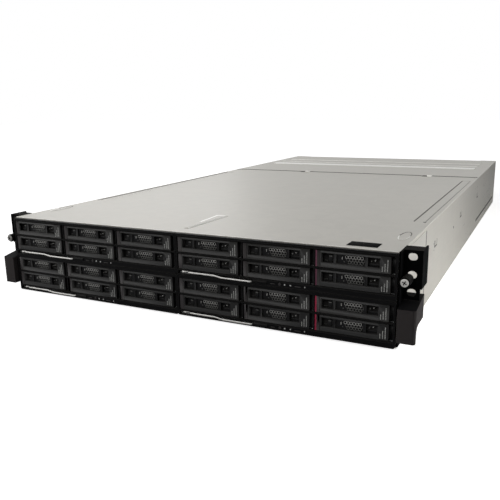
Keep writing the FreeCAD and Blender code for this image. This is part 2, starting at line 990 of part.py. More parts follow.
def power_supply(low):
    """A closed supply: inlet, grille, pull handle and latch tab on its rear face."""
    high = low + psu_height
    body = box((psu_left, psu_right), (psu_front, chassis_rear), (low, high))
    cuts = [
        box(
            (psu_left + inlet_margin, psu_left + inlet_margin + inlet_width),
            (chassis_rear - inlet_depth, chassis_rear + sheet),
            (low + inlet_margin, low + inlet_margin + inlet_height),
        )
    ]
    grille_x = (psu_right - grille_margin - grille_width, psu_right - grille_margin)
    for i in range(grille_slots):
        z = low + grille_margin + i * (grille_slot + grille_bar)
        cuts.append(
            box(grille_x, (chassis_rear - grille_depth, chassis_rear + sheet), (z, z + grille_slot))
        )
    body = body.cut(cuts)

    strap_x = psu_left + inlet_margin + inlet_width + inlet_margin / 2
    handle_low = low + (psu_height - handle_height) / 2
    handle_high = handle_low + handle_height
    reach = chassis_rear + handle_reach
    inside = reach - handle_strap
    handle = side_prism(
        [
            (chassis_rear, handle_low),
            (inside, handle_low),
            (reach, handle_low + handle_strap),
            (reach, handle_high - handle_strap),
            (inside, handle_high),
            (chassis_rear, handle_high),
            (chassis_rear, handle_high - handle_strap),
            (inside, handle_high - handle_strap),
            (inside, handle_low + handle_strap),
            (chassis_rear, handle_low + handle_strap),
        ],
        (strap_x, strap_x + handle_width),
    )
    tab = side_prism(
        [
            (chassis_rear, high - psu_tab_margin - psu_tab_height),
            (chassis_rear + psu_tab_reach, high - psu_tab_margin - psu_tab_height / 2),
            (chassis_rear + psu_tab_reach, high - psu_tab_margin),
            (chassis_rear, high - psu_tab_margin),
        ],
        (psu_right - grille_margin - psu_tab_width, psu_right - grille_margin),
    )
    return body.Solids + [handle, tab]


def module_box(z, width, height, depth):
    """A plug-in module with two sockets side by side, width by height and depth deep."""
    middle = (cage_left + cage_right) / 2
    rear = chassis_rear + module_box_proud
    body = box(
        (middle - module_box_width / 2, middle + module_box_width / 2),
        (chassis_rear - module_box_depth, rear),
        (z, z + module_box_height),
    )
    sockets = []
    for side in (-1, 1):
        x = middle + side * socket_pitch / 2
        floor = z + (module_box_height - height) / 2
        sockets.append(
            box((x - width / 2, x + width / 2), (rear - depth, rear + sheet), (floor, floor + height))
        )
    return body.cut(sockets).Solids


def slot_cover_lefts():
    """Left edges of the slot covers, half of them at each end of the cage."""
    lefts = []
    for i in range(slot_covers // 2):
        step = slot_cover_margin + i * slot_cover_pitch
        lefts.append(cage_left + step)
        lefts.append(cage_right - step - slot_cover_width)
    return lefts


def io_cage():
    pan = front_prism(
        channel((cage_left, cage_right), (cage_low, cage_high), sheet), (psu_front, chassis_rear)
    )
    wall_y = (chassis_rear - sheet, chassis_rear)
    wall = box((cage_left + sheet, cage_right - sheet), wall_y, (cage_low + sheet, cage_high))
    middle_z = (cage_low + cage_high) / 2
    cover_low = middle_z - slot_cover_height / 2
    windows = []
    covers = []
    for left in slot_cover_lefts():
        inner = left + (slot_cover_width - slot_window_width) / 2
        windows.append(
            box(
                (inner, inner + slot_window_width),
                (wall_y[0] - sheet, wall_y[1] + sheet),
                (cover_low + slot_window_margin, cover_low + slot_cover_height - slot_window_margin),
            )
        )
        covers.append(
            box(
                (left, left + slot_cover_width),
                (chassis_rear, chassis_rear + slot_cover_sheet),
                (cover_low, cover_low + slot_cover_height),
            )
        )
    lower = cage_low + sheet + module_box_margin
    upper = cage_high - module_box_margin - module_box_height
    management = module_box(lower, socket_width, socket_height, socket_depth)
    network = module_box(upper, cage_socket_width, cage_socket_height, cage_socket_depth)
    middle = (cage_left + cage_right) / 2
    module_x = (middle - module_box_width / 2, middle + module_box_width / 2)
    for z in (lower, upper):
        windows.append(box(module_x, (wall_y[0] - sheet, wall_y[1] + sheet), (z, z + module_box_height)))
    return [pan] + wall.cut(windows).Solids + covers + management + network


# All nodes


def bay_origins():
    """Where each node's own frame starts: upper left, upper right, lower left, lower right."""
    lefts = (-half_width + sheet + slide_gap, sheet / 2 + slide_gap)
    lows = (2 * sheet + bay_height + slide_gap, sheet + slide_gap)
    return [(x, z) for z in lows for x in lefts]


def save_compute_node(number, x, z):
    node = "node_%d_" % number
    save(node + "tray", moved(node_tray(), x, z))
    save(node + "bezel", moved(node_bezel(), x, z))
    save(node + "electronics", moved(node_electronics(), x, z))
    save(node + "lever", moved(node_lever(), x, z))
    save(node + "power_button", moved(power_button(), x, z))
    for row in range(rows):
        for column in range(columns):
            place = (rows - 1 - row) * columns + column + 1
            save("drive_%d_%d" % (number, place), moved(drive(column, row), x, z))


os.makedirs("parts", exist_ok=True)
save("chassis_shell", chassis_shell())
save("front_cover", front_cover())
save("rear_cover", rear_cover())
save("right_ear", ear())
save("left_ear", mirrored(ear()))
save("right_ear_housing", ear_housing())
save("left_ear_housing", mirrored(ear_housing()))
save("midplane", midplane())
housings = []
for fan in range(fan_count):
    housings += fan_housing(fan)
    save("fan_rotor_%d" % (fan + 1), fan_rotor(fan))
save("fan_housings", housings)
save("psu_1", power_supply(2 * sheet + bay_height + slide_gap))
save("psu_2", power_supply(sheet + slide_gap))
save("io_cage", io_cage())
for number, (bay_x, bay_z) in enumerate(bay_origins(), 1):
    save_compute_node(number, bay_x, bay_z)
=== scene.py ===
import math

import bmesh
import bpy
from mathutils import Matrix, Vector


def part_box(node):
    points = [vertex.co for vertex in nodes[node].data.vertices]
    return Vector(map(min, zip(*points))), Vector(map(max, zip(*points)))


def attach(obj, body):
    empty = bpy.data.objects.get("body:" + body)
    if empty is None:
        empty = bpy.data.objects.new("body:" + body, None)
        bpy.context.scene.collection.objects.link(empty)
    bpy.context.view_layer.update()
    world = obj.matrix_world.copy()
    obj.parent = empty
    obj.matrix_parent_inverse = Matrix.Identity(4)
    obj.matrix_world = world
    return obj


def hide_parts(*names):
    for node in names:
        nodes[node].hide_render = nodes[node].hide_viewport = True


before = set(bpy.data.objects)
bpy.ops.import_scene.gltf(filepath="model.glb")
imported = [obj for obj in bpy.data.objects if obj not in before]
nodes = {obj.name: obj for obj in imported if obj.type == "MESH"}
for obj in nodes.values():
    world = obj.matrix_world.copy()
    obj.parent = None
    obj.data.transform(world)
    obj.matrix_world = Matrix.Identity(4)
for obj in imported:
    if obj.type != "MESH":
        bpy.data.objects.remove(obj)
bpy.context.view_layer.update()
scene, moveTo = bpy.context.scene, Matrix.Translation
frontPlane = -0.44135  # y of the node fronts; depths below are millimetres behind it
toFrame = moveTo((0, frontPlane, 0)) @ Matrix.Scale(0.001, 4)
palette = [None]  # all finishes; the first place stands for a piece's main one
print("frame loaded,", len(nodes), "nodes")


def tint(colour, share=1.0):  # a colour as it is seen, made linear and darkened to a share
    def linear(value):
        value /= 255
        return value / 12.92 if value <= 0.04045 else ((value + 0.055) / 1.055) ** 2.4
    return tuple(linear(value) * share for value in colour) + (1.0,)


def feed(tree, socket, value):
    if isinstance(value, bpy.types.NodeSocket):
        tree.links.new(value, socket)
    else:
        socket.default_value = value


def addNode(tree, kind, values=None, **settings):
    node = tree.nodes.new("ShaderNode" + kind)
    for key, value in settings.items():
        setattr(node, key, value)
    for key, value in (values or {}).items():
        feed(tree, node.inputs[key], value)
    return node


def compute(tree, operation, first, second, clamp=False):
    values = {0: first, 1: second}
    return addNode(tree, "Math", values, operation=operation, use_clamp=clamp).outputs[0]


def weigh(tree, first, share, second, rest):
    part = compute(tree, "MULTIPLY", first, share)
    return compute(tree, "ADD", part, compute(tree, "MULTIPLY", second, rest))


def mixVectors(tree, operation, first, second):
    return addNode(tree, "VectorMath", {0: first, 1: second}, operation=operation).outputs


def mixColours(tree, factor, first, second):
    values = {0: factor, 6: first, 7: second}
    return addNode(tree, "Mix", values, data_type="RGBA", clamp_factor=True).outputs[2]


def spread(tree, value, low, high, source=None):
    values = {"Value": value, "To Min": low, "To Max": high, **(source or {})}
    return addNode(tree, "MapRange", values).outputs["Result"]


def objectPlace(tree):
    return addNode(tree, "TexCoord").outputs["Object"]


def faceNormal(tree):
    return addNode(tree, "NewGeometry").outputs["Normal"]


def noiseAt(tree, vector, scale, detail=2.0, rough=0.5):
    values = {"Vector": vector, "Scale": scale, "Detail": detail, "Roughness": rough}
    return addNode(tree, "TexNoise", values).outputs


def newGroup(name, inputs, outputs):
    group = bpy.data.node_groups.new(name, "ShaderNodeTree")
    for label, value in inputs.items():
        socket = group.interface.new_socket(label, in_out="INPUT", socket_type="NodeSocketFloat")
        socket.default_value = value
    for label in outputs:
        group.interface.new_socket(label, in_out="OUTPUT", socket_type="NodeSocketFloat")
    return group, group.nodes.new("NodeGroupInput").outputs, group.nodes.new("NodeGroupOutput").inputs


def makeEdgeWear():  # pale where a rounded normal leaves the face's own, broken up by patches
    inputs = {"Radius": 0.0006, "Amount": 1.0, "Patch Scale": 160.0, "Contrast": 9.0}
    group, given, result = newGroup("edgeWear", inputs, ["Mask"])
    rounded = addNode(group, "Bevel", {"Radius": given["Radius"]}, samples=4)
    match = mixVectors(group, "DOT_PRODUCT", rounded.outputs["Normal"], faceNormal(group))["Value"]
    bent = compute(group, "SUBTRACT", 1.0, match)
    patches = noiseAt(group, objectPlace(group), given["Patch Scale"], 3.0)["Fac"]
    strength = compute(group, "MULTIPLY", bent, compute(group, "MULTIPLY", patches, given["Contrast"]))
    feed(group, result["Mask"], compute(group, "MULTIPLY", strength, given["Amount"], clamp=True))
    return group


def makeSurfaceGrain():  # fine moulded grain and a slow drift of tone
    inputs = {"Scale": 1400.0, "Drift Scale": 9.0}
    group, given, result = newGroup("surfaceGrain", inputs, ["Height", "Drift"])
    place = objectPlace(group)
    feed(group, result["Height"], noiseAt(group, place, given["Scale"], 2.0, 0.6)["Fac"])
    feed(group, result["Drift"], noiseAt(group, place, given["Drift Scale"], 3.0)["Fac"])
    return group


def makeSettledDust():  # specks on faces that look up
    group, given, result = newGroup("settledDust", {"Amount": 0.3, "Scale": 60.0}, ["Mask"])
    axes = addNode(group, "SeparateXYZ", {0: faceNormal(group)})
    upward = compute(group, "MULTIPLY", axes.outputs["Z"], 1.0, clamp=True)
    specks = noiseAt(group, objectPlace(group), given["Scale"], 5.0, 0.7)["Fac"]
    film = compute(group, "MULTIPLY", upward, specks)
    feed(group, result["Mask"], compute(group, "MULTIPLY", film, given["Amount"]))
    return group


def makeRolledSheet():  # zinc flakes with ragged borders, and lines left by the rolls
    marks = {"ragged": (0.006, 0.006, 0.006), "raggedScale": 120.0, "stretch": (900.0, 6.0, 900.0)}
    group, given, result = newGroup("rolledSheet", {"Flake Scale": 75.0}, ["Flakes", "Lines"])
    place = objectPlace(group)
    noise = noiseAt(group, place, marks["raggedScale"])["Color"]
    shifted = mixVectors(group, "ADD", place, mixVectors(group, "MULTIPLY", noise, marks["ragged"])[0])[0]
    values = {"Vector": shifted, "Scale": given["Flake Scale"], "Randomness": 1.0}
    cells = addNode(group, "TexVoronoi", values).outputs["Color"]
    feed(group, result["Flakes"], addNode(group, "SeparateColor", {0: cells}).outputs[0])
    values = {"Vector": place, "Scale": marks["stretch"]}
    lines = addNode(group, "Mapping", values).outputs[0]
    feed(group, result["Lines"], noiseAt(group, lines, 1.0)["Fac"])
    return group


def makeDrawnLines():  # fine lines along one direction
    inputs = {"Scale X": 30.0, "Scale Y": 2500.0, "Scale Z": 2500.0}
    group, given, result = newGroup("drawnLines", inputs, ["Lines"])
    scales = addNode(group, "CombineXYZ", {axis: given["Scale " + axis] for axis in "XYZ"})
    lines = mixVectors(group, "MULTIPLY", objectPlace(group), scales.outputs[0])[0]
    feed(group, result["Lines"], noiseAt(group, lines, 1.0, 3.0)["Fac"])
    return group


edgeWear = makeEdgeWear()
surfaceGrain = makeSurfaceGrain()
settledDust = makeSettledDust()
rolledSheet = makeRolledSheet()
drawnLines = makeDrawnLines()
houseDust, rubbedZinc, rubbedSteel = (120, 116, 110), (238, 236, 232), (245, 244, 240)


def useGroup(tree, group, values):
    return addNode(tree, "Group", values, node_tree=group).outputs


def startMaterial(name, values=None):
    material = bpy.data.materials.new(name)
    material.use_nodes = True
    palette.append(material)
    tree = material.node_tree
    shader = tree.nodes["Principled BSDF"].inputs
    for key, value in (values or {}).items():
        shader[key].default_value = value
    return material, tree, shader


def bumpFrom(tree, shader, height, strength, distance=0.0002):
    values = {"Height": height, "Strength": strength, "Distance": distance}
    feed(tree, shader["Normal"], addNode(tree, "Bump", values).outputs["Normal"])


# Moulded plastic: grain, slow drift of tone, paler worn edges and a film on faces that look up.
def plastic(
    name, colour, worn, rough=0.5, specular=0.2, grain=0.15, scale=1500.0, wear=0.7, upwardFilm=0.12,
    onTop=houseDust,
):
    material, tree, shader = startMaterial(name, {"Specular IOR Level": specular})
    skin = useGroup(tree, surfaceGrain, {"Scale": scale, "Drift Scale": 14.0})
    edge = useGroup(tree, edgeWear, {"Radius": 0.0005, "Amount": wear})
    film = useGroup(tree, settledDust, {"Amount": upwardFilm, "Scale": 90.0})
    body = mixColours(tree, skin["Drift"], tint(colour, 0.72), tint(colour))
    body = mixColours(tree, edge["Mask"], body, tint(worn))
    feed(tree, shader["Base Color"], mixColours(tree, film["Mask"], body, tint(onTop)))
    feed(tree, shader["Roughness"], spread(tree, skin["Drift"], rough - 0.08, rough + 0.1))
    bumpFrom(tree, shader, skin["Height"], grain)
    return material


# Sheet metal: zinc flakes, faint rolling lines and smudges.
def sheetMetal(name, pale, dark, metallic=0.55, rough=0.4, flakes=75.0, wear=0.5, specular=0.5):
    material, tree, shader = startMaterial(name, {"Specular IOR Level": specular, "Metallic": metallic})
    sheet = useGroup(tree, rolledSheet, {"Flake Scale": flakes})
    skin = useGroup(tree, surfaceGrain, {"Scale": 700.0, "Drift Scale": 5.0})
    edge = useGroup(tree, edgeWear, {"Radius": 0.0006, "Amount": wear})
    mottle = weigh(tree, sheet["Flakes"], 0.35, skin["Drift"], 0.65)
    body = mixColours(tree, mottle, tint(dark), tint(pale))
    rubbed = compute(tree, "MULTIPLY", edge["Mask"], 0.6)
    feed(tree, shader["Base Color"], mixColours(tree, rubbed, body, tint(rubbedZinc)))
    gloss = weigh(tree, mottle, 0.5, sheet["Lines"], 0.5)
    feed(tree, shader["Roughness"], spread(tree, gloss, rough - 0.07, rough + 0.12))
    bumpFrom(tree, shader, sheet["Lines"], 0.04)
    return material


# Bright drawn steel with lines along the piece.
def drawnSteel(name, colour, rough=0.24, along=(30.0, 2500.0, 2500.0)):
    material, tree, shader = startMaterial(name, {"Metallic": 1.0})
    scales = {"Scale " + axis: value for axis, value in zip("XYZ", along)}
    lines = useGroup(tree, drawnLines, scales)["Lines"]
    edge = useGroup(tree, edgeWear, {"Radius": 0.0004, "Amount": 0.6})
    body = mixColours(tree, lines, tint(colour, 0.75), tint(colour))
    feed(tree, shader["Base Color"], mixColours(tree, edge["Mask"], body, tint(rubbedSteel)))
    feed(tree, shader["Roughness"], spread(tree, lines, rough - 0.08, rough + 0.14))
    bumpFrom(tree, shader, lines, 0.06, 0.0001)
    return material


# Circuit board lacquer with a maze of copper tracks under it.
def boardLacquer(name, lacquer, track):
    material, tree, shader = startMaterial(name)
    place = objectPlace(tree)
    values = {"Vector": place, "Scale": 260.0, "Randomness": 0.85}
    maze = addNode(tree, "TexVoronoi", values, distance="MANHATTAN").outputs["Distance"]
    values = {"Vector": place, "Scale": 130.0, "Distortion": 5.0, "Detail": 1.0}
    runs = addNode(tree, "TexWave", values, bands_direction="DIAGONAL").outputs["Fac"]
    skin = useGroup(tree, surfaceGrain, {"Scale": 900.0, "Drift Scale": 20.0})
    paths = compute(tree, "GREATER_THAN", compute(tree, "MULTIPLY", maze, runs), 0.33)
    body = mixColours(tree, skin["Drift"], tint(lacquer, 0.7), tint(lacquer))
    copper = compute(tree, "MULTIPLY", paths, 0.55)
    feed(tree, shader["Base Color"], mixColours(tree, copper, body, tint(track)))
    feed(tree, shader["Roughness"], spread(tree, skin["Drift"], 0.28, 0.5))
    bumpFrom(tree, shader, paths, 0.12, 0.0001)
    return material


evenGrain = (900.0, 900.0, 900.0)
galvanised = sheetMetal("galvanisedSheet", (206, 203, 195), (188, 185, 177), metallic=0.5, rough=0.28)
coverSheet = sheetMetal(
    "coverSheet", (204, 201, 193), (190, 187, 179), metallic=0.12, rough=0.38, specular=0.15, wear=0.2
)
zincTray = sheetMetal(
    "zincTray", (186, 188, 188), (160, 162, 163), metallic=0.7, rough=0.36, flakes=55.0
)
finMetal = sheetMetal(
    "finAluminium", (205, 206, 208), (176, 178, 181), metallic=0.85, rough=0.34, flakes=30.0
)
diskCase = sheetMetal("diskCase", (96, 97, 100), (72, 73, 76), metallic=0.6, rough=0.42, flakes=45.0)
# near-white sheet that stands for light caught on slopes, rims and edges: painted highlight
paintedHighlight = sheetMetal("paintedHighlight", (252, 251, 246), (240, 239, 233), metallic=0.1, rough=0.3)
leverSteel = drawnSteel("leverSteel", (232, 230, 226))
screwSteel = drawnSteel("screwSteel", (206, 204, 200), rough=0.32, along=evenGrain)
# darker copy of the screw steel for the head on the shaded side: painted shade
shadedScrewSteel = drawnSteel("shadedScrewSteel", (128, 126, 123), rough=0.42, along=evenGrain)
contactGold = drawnSteel("contactGold", (206, 168, 92), rough=0.3, along=evenGrain)
earCoat = plastic(
    "earPowderCoat", (7, 7, 8), (30, 29, 28), rough=0.7, specular=0.01, grain=0.3, scale=2200.0
)
knobBlack = plastic("knobBlack", (9, 9, 10), (24, 24, 24), specular=0.05, wear=0.0)
plateBlack = plastic("plateBlack", (8, 8, 9), (22, 22, 22), rough=0.8, specular=0.02, wear=0.2, upwardFilm=0.0)
housingShell = plastic(
    "housingShell", (50, 47, 47), (62, 60, 58), rough=0.6, specular=0.04, grain=0.3,
    upwardFilm=4.0, onTop=(9, 9, 10),  # faces that look up are darkened nearly to black
)
bezelShell = plastic("bezelShell", (9, 9, 10), (44, 43, 42), specular=0.06)
driveShell = plastic("driveShell", (21, 21, 22), (54, 53, 52), rough=0.44, specular=0.1, wear=0.9)
gripRidge = plastic("gripRidge", (46, 46, 46), (70, 69, 67), rough=0.4, specular=0.14, wear=0.9)
# floor of the drive's window pockets, darkened as painted shade
windowShade = plastic("windowShade", (18, 18, 19), (36, 36, 36), rough=0.6, specular=0.1)
endShell = plastic("endShell", (35, 35, 35), (64, 63, 61), rough=0.42, specular=0.12, wear=0.9)
latchShell = plastic("latchShell", (52, 49, 50), (70, 68, 66), rough=0.42, specular=0.14, wear=0.9)
# lit and shaded tones of the mesh: painted light and shade on its rows of cells; small marks and pins in the
# windows take them too
litMeshTone = plastic("litMeshTone", (152, 151, 148), (168, 167, 164), rough=0.42, wear=0.8)
meshShade = plastic("meshShade", (92, 92, 90), (104, 103, 101), rough=0.42, specular=0.15, wear=0.8)
crimsonTrim = plastic("crimsonTrim", (132, 20, 48), (164, 56, 84), rough=0.4)
plumTrim = plastic("plumTrim", (72, 34, 50), (110, 66, 82), rough=0.42)
paleInk = plastic("paleInk", (160, 160, 157), (176, 176, 173), rough=0.6, wear=0.2)
lensPale = plastic("lensPale", (196, 198, 196), (226, 226, 224), rough=0.25, specular=0.5)
# black that stands for shade in holes, slots, recesses and mouths: painted shade
shadowBlack = plastic("shadowBlack", (6, 6, 7), (18, 18, 18), rough=0.6, specular=0.05)
# grey that stands for shade on slopes, pad rims, grooves and beside formed tabs: painted shade
shadeGrey = plastic("shadeGrey", (116, 114, 110), (134, 132, 128), rough=0.7, specular=0.1, wear=0.2)
# dark grey that stands for the shadow in the seam between the covers: painted shadow
seamShade = plastic("seamShade", (60, 58, 56), (84, 82, 79), rough=0.7, specular=0.1, wear=0.3)
chipBlack = plastic("chipBlack", (24, 24, 26), (52, 52, 54))
socketBlack = plastic("socketBlack", (17, 17, 18), (46, 46, 48))
latchWhite = plastic("latchWhite", (196, 194, 186), (224, 222, 216), rough=0.45)
fanPlastic = plastic("fanPlastic", (22, 22, 23), (54, 54, 54))
touchOrange = plastic("touchOrange", (176, 84, 40), (206, 124, 82), rough=0.45)
boardGreen = boardLacquer("boardGreen", (16, 70, 44), (54, 112, 70))
print("finishes ready:", len(palette) - 1)

# Shapes are made in millimetres: x, depth behind the node fronts, z.
turnTo = {
    "x": Matrix.Rotation(math.pi / 2, 4, "Y"),
    "y": Matrix.Rotation(math.pi / 2, 4, "X"),
    "z": Matrix.Identity(4),
}


def edgesOf(verts):
    return {e for v in verts for e in v.link_edges}


def facesOf(verts):
    return {f for v in verts for f in v.link_faces}


def vertsIn(geometry):
    return [g for g in geometry if isinstance(g, bmesh.types.BMVert)]


def around(middle, half):
    return (middle - half, middle + half)


def paint(faces, finish=None):
    for face in faces:
        face.material_index = palette.index(finish)


def unitCube(bm, place, finish):
    verts = bmesh.ops.create_cube(bm, size=1.0, matrix=place)["verts"]
    paint(facesOf(verts), finish)
    return verts


def block(bm, x, y, z, finish=None):
    middle = Vector([(low + high) / 2 for low, high in (x, y, z)])
    size = [high - low for low, high in (x, y, z)]
    return unitCube(bm, moveTo(middle) @ Matrix.Diagonal((*size, 1.0)), finish)


def blockAt(bm, corner, spans, finish=None):  # the same, with its spans counted from a corner
    return block(bm, *[[start + v for v in span] for start, span in zip(corner, spans)], finish)


def blocksAt(bm, corner, rows):  # rows of x, depth, z and finish
    for *spans, finish in rows:
        blockAt(bm, corner, spans, finish)


def stub(bm, middle, radius, length, axis="y", sides=16, finish=None, tip=None):
    place = moveTo(middle) @ turnTo[axis]
    end = radius if tip is None else tip  # the tip is the end at the front, the right or the top
    verts = bmesh.ops.create_cone(
        bm, cap_ends=True, segments=sides, radius1=radius, radius2=end, depth=length, matrix=place
    )["verts"]
    paint(facesOf(verts), finish)
    return verts


def split(bm, axis, values):
    direction = Vector([1.0 if a == axis else 0.0 for a in "xyz"])
    for value in values:
        everything = bm.verts[:] + bm.edges[:] + bm.faces[:]
        bmesh.ops.bisect_plane(
            bm, geom=everything, dist=0.0001, plane_co=direction * value, plane_no=direction
        )


def frontFaces(bm, x, z, y, facing=-1):
    bm.normal_update()
    found = []
    for face in bm.faces:
        middle = face.calc_center_median()
        if face.normal.y * facing > 0.9 and abs(middle.y - y) < 0.01:
            if x[0] < middle.x < x[1] and z[0] < middle.z < z[1]:
                found.append(face)
    return found


def push(bm, faces, depth):
    grown = bmesh.ops.extrude_face_region(bm, geom=faces)["geom"]
    bmesh.ops.delete(bm, geom=[f for f in faces if f.is_valid], context="FACES")
    bmesh.ops.translate(bm, verts=vertsIn(grown), vec=(0, depth, 0))
    return [g for g in grown if isinstance(g, bmesh.types.BMFace)]


def softenEdges(bm, width, segments=2, limit=0.6, edges=None):
    bm.normal_update()
    chosen = [e for e in edges or bm.edges if e.is_manifold and e.calc_face_angle(0.0) > limit]
    bmesh.ops.bevel(
        bm, geom=chosen, offset=width, offset_type="OFFSET", segments=segments, profile=0.5,
        affect="EDGES", clamp_overlap=True, material=-1,
    )


def settle(bm):  # builds the faces anew in a fixed order, so that every run goes on alike
    verts = sorted(bm.verts, key=lambda v: [round(value, 4) for value in v.co])
    rank = {vert: i for i, vert in enumerate(verts)}
    places, rows = [vert.co.copy() for vert in verts], []
    for face in bm.faces:
        ring = [rank[vert] for vert in face.verts]
        start = ring.index(min(ring))
        rows.append((ring[start:] + ring[:start], face.material_index))
    bm.clear()
    verts = [bm.verts.new(place) for place in places]
    for ring, finish in sorted(rows):
        bm.faces.new([verts[i] for i in ring]).material_index = finish
    bm.normal_update()


def roundShade(bm, limit):
    bm.normal_update()
    for face in bm.faces:
        face.smooth = True
    for edge in bm.edges:
        edge.smooth = edge.is_manifold and edge.calc_face_angle(0.0) < limit


def makeObject(name, bm, looks):
    mesh = bpy.data.meshes.new(name)
    bm.to_mesh(mesh)
    bm.free()
    for finish in looks:
        mesh.materials.append(finish)
    piece = bpy.data.objects.new(name, mesh)
    scene.collection.objects.link(piece)
    return piece


def keepPiece(name, bm, main, body, replaces=(), place=toFrame, soft=0, smooth=0.7):
    if soft:
        softenEdges(bm, soft)
    if smooth:
        roundShade(bm, smooth)
    bmesh.ops.recalc_face_normals(bm, faces=bm.faces[:])
    bmesh.ops.transform(bm, matrix=place, verts=bm.verts[:])
    looks = [main]
    for face in bm.faces:
        finish = palette[face.material_index] or main
        if finish not in looks:
            looks.append(finish)
        face.material_index = looks.index(finish)
    piece = makeObject(name, bm, looks)
    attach(piece, body)
    if replaces:
        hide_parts(*replaces)


def dressNode(name, material, width=0.00025, segments=2):
    piece = nodes[name]
    piece.data.materials.clear()
    piece.data.materials.append(material)
    weld = piece.modifiers.new("weld", "WELD")
    weld.merge_threshold = 0.000005
    if width:
        bevel = piece.modifiers.new("softEdge", "BEVEL")
        bevel.width = width
        bevel.segments = segments
        bevel.limit_method = "ANGLE"
        bevel.angle_limit = 0.6
        bevel.use_clamp_overlap = True


driveParts = {
    "width": 71.9, "height": 15.8, "face": 2.2, "endFace": 5.2, "rear": 9.2, "rail": 1.0, "railRear": 111.4,
    "grip": (5.0, 68.2), "latch": (0.8, 4.6), "margin": 0.4, "ridgeRound": 0.42, "edgeRound": 0.16,
    "field": (4.3, 13.6), "fieldX": (5.7, 59.3), "fieldDepth": 0.6,
    "windows": ((6.6, 17.0), (19.6, 45.3), (47.9, 58.3)), "windowRise": (4.7, 13.1), "pocket": 4.2,
    "meshFace": 1.1, "hexPitch": 2.72, "hexReach": 1.6, "hexWall": 0.36, "hexDeep": 0.8,
    "hexRows": (  # z, first x, count, finish; the top row takes the lit tone of the mesh and the lower rows the shaded tone: painted light and shade
        (11.35, 28.9, 6, litMeshTone), (8.98, 30.26, 6, meshShade), (6.61, 31.62, 5, meshShade),
    ),
    "plain": ((19.8, 26.4), (2.3, 3.1), (4.7, 13.1)), "plainLean": 3.4,
    "fittings": (  # x, depth, z, finish and rounding of what shows in the windows
        ((24.6, 25.2), (1.0, 2.4), (9.0, 11.2), litMeshTone, 0),  # slim light guide
        ((26.0, 26.6), (2.0, 2.4), (6.3, 7.2), meshShade, 0),
        ((12.8, 16.0), (1.2, 4.0), (6.1, 11.5), None, 0.3),  # release
        ((7.8, 10.8), (3.6, 5.3), (5.7, 6.4), gripRidge, 0),
        ((13.1, 15.6), (1.1, 1.3), (10.5, 11.1), meshShade, 0),
        ((48.5, 57.7), (3.0, 5.2), (5.1, 7.3), None, 0.25),  # shelf
    ),
    "pins": ((50.9, 9.6, meshShade), (54.3, 10.6, litMeshTone)), "pinDepth": 2.6, "pinSize": (0.55, 2.2, 0.45),
    "inkColumns": ((60.4, 6.6), (62.7, 9.4), (65.0, 13.2)), "inkLow": 1.9, "inkWidth": 0.85,
    "inkDashes": (0.9, 0.6, 0.8, 1.1, 0.5), "inkGap": 0.32, "inkDepth": (-0.04, 0.1),
    "disk": (9.2, 109.4), "diskMargin": 0.4, "diskSteps": ((4.0, -0.35), (1.2, 0.25)),
    "screwX": 0.3, "screwDepths": (24.0, 100.0), "screwZ": 5.0, "screwSize": (1.9, 0.7),
    "plug": ((16.0, 56.0), (109.2, 110.6), (2.0, 6.0)), "trimX": (0.3, 1.8), "trimDepth": (-0.06, 2.6),
}


def hexCell(bm, x, z, finish):
    place = moveTo((x, driveParts["meshFace"], z)) @ turnTo["y"]
    reach, wall = driveParts["hexReach"], driveParts["hexWall"]
    verts = bmesh.ops.create_circle(bm, cap_ends=True, segments=6, radius=reach, matrix=place)["verts"]
    hole = verts[0].link_faces[0]
    rim = bmesh.ops.inset_region(bm, faces=[hole], thickness=wall, use_boundary=True)["faces"]
    bmesh.ops.delete(bm, geom=[hole], context="FACES_ONLY")
    grown = bmesh.ops.extrude_face_region(bm, geom=rim, use_keep_orig=True)["geom"]
    backs = vertsIn(grown)
    bmesh.ops.translate(bm, verts=backs, vec=(0, driveParts["hexDeep"], 0))
    paint(facesOf(verts + backs), finish)


def driveFront(bm):
    parts = driveParts
    wide, tall, face, rail = parts["width"], parts["height"], parts["face"], parts["rail"]
    grip, latch, edge = parts["grip"], parts["latch"], parts["margin"]
    field, fieldX, depth = parts["field"], parts["fieldX"], parts["fieldDepth"]
    block(bm, (0, wide), (parts["endFace"], parts["rear"]), (0, tall))
    cuts = [*grip, *latch, *fieldX, rail, wide - rail]
    split(bm, "x", cuts + [x for window in parts["windows"] for x in window])
    split(bm, "z", [edge, tall - edge, *field, *parts["windowRise"]])
    everyZ, boss = (-1, tall + 1), (edge, tall - edge)
    push(bm, frontFaces(bm, (-1, grip[1]), everyZ, parts["endFace"]), face - parts["endFace"])
    paint(push(bm, frontFaces(bm, latch, boss, face), -face), latchShell)
    paint(push(bm, frontFaces(bm, grip, boss, face), -face), gripRidge)
    paint(push(bm, frontFaces(bm, fieldX, field, 0.0), depth))
    paint(frontFaces(bm, (fieldX[1], grip[1]), boss, 0.0), endShell)
    # the windows are pushed in and their floors darkened: painted shade
    for window in parts["windows"]:
        paint(push(bm, frontFaces(bm, window, parts["windowRise"], depth), parts["pocket"]), windowShade)
    for x in ((-1, rail), (wide - rail, wide + 1)):
        push(bm, frontFaces(bm, x, everyZ, parts["rear"], facing=1), parts["railRear"] - parts["rear"])
    settle(bm)
    verts, edges = bm.verts[:], bm.edges[:]
    bmesh.ops.dissolve_limit(bm, angle_limit=0.02, verts=verts, edges=edges, delimit={"MATERIAL"})
    ridge = [
        e for e in bm.edges
        if all(abs(v.co.y) < 0.01 and abs(v.co.z - field[0]) < 0.01 for v in e.verts)
    ]
    softenEdges(bm, parts["ridgeRound"], 3, edges=ridge)
    softenEdges(bm, parts["edgeRound"])
    settle(bm)


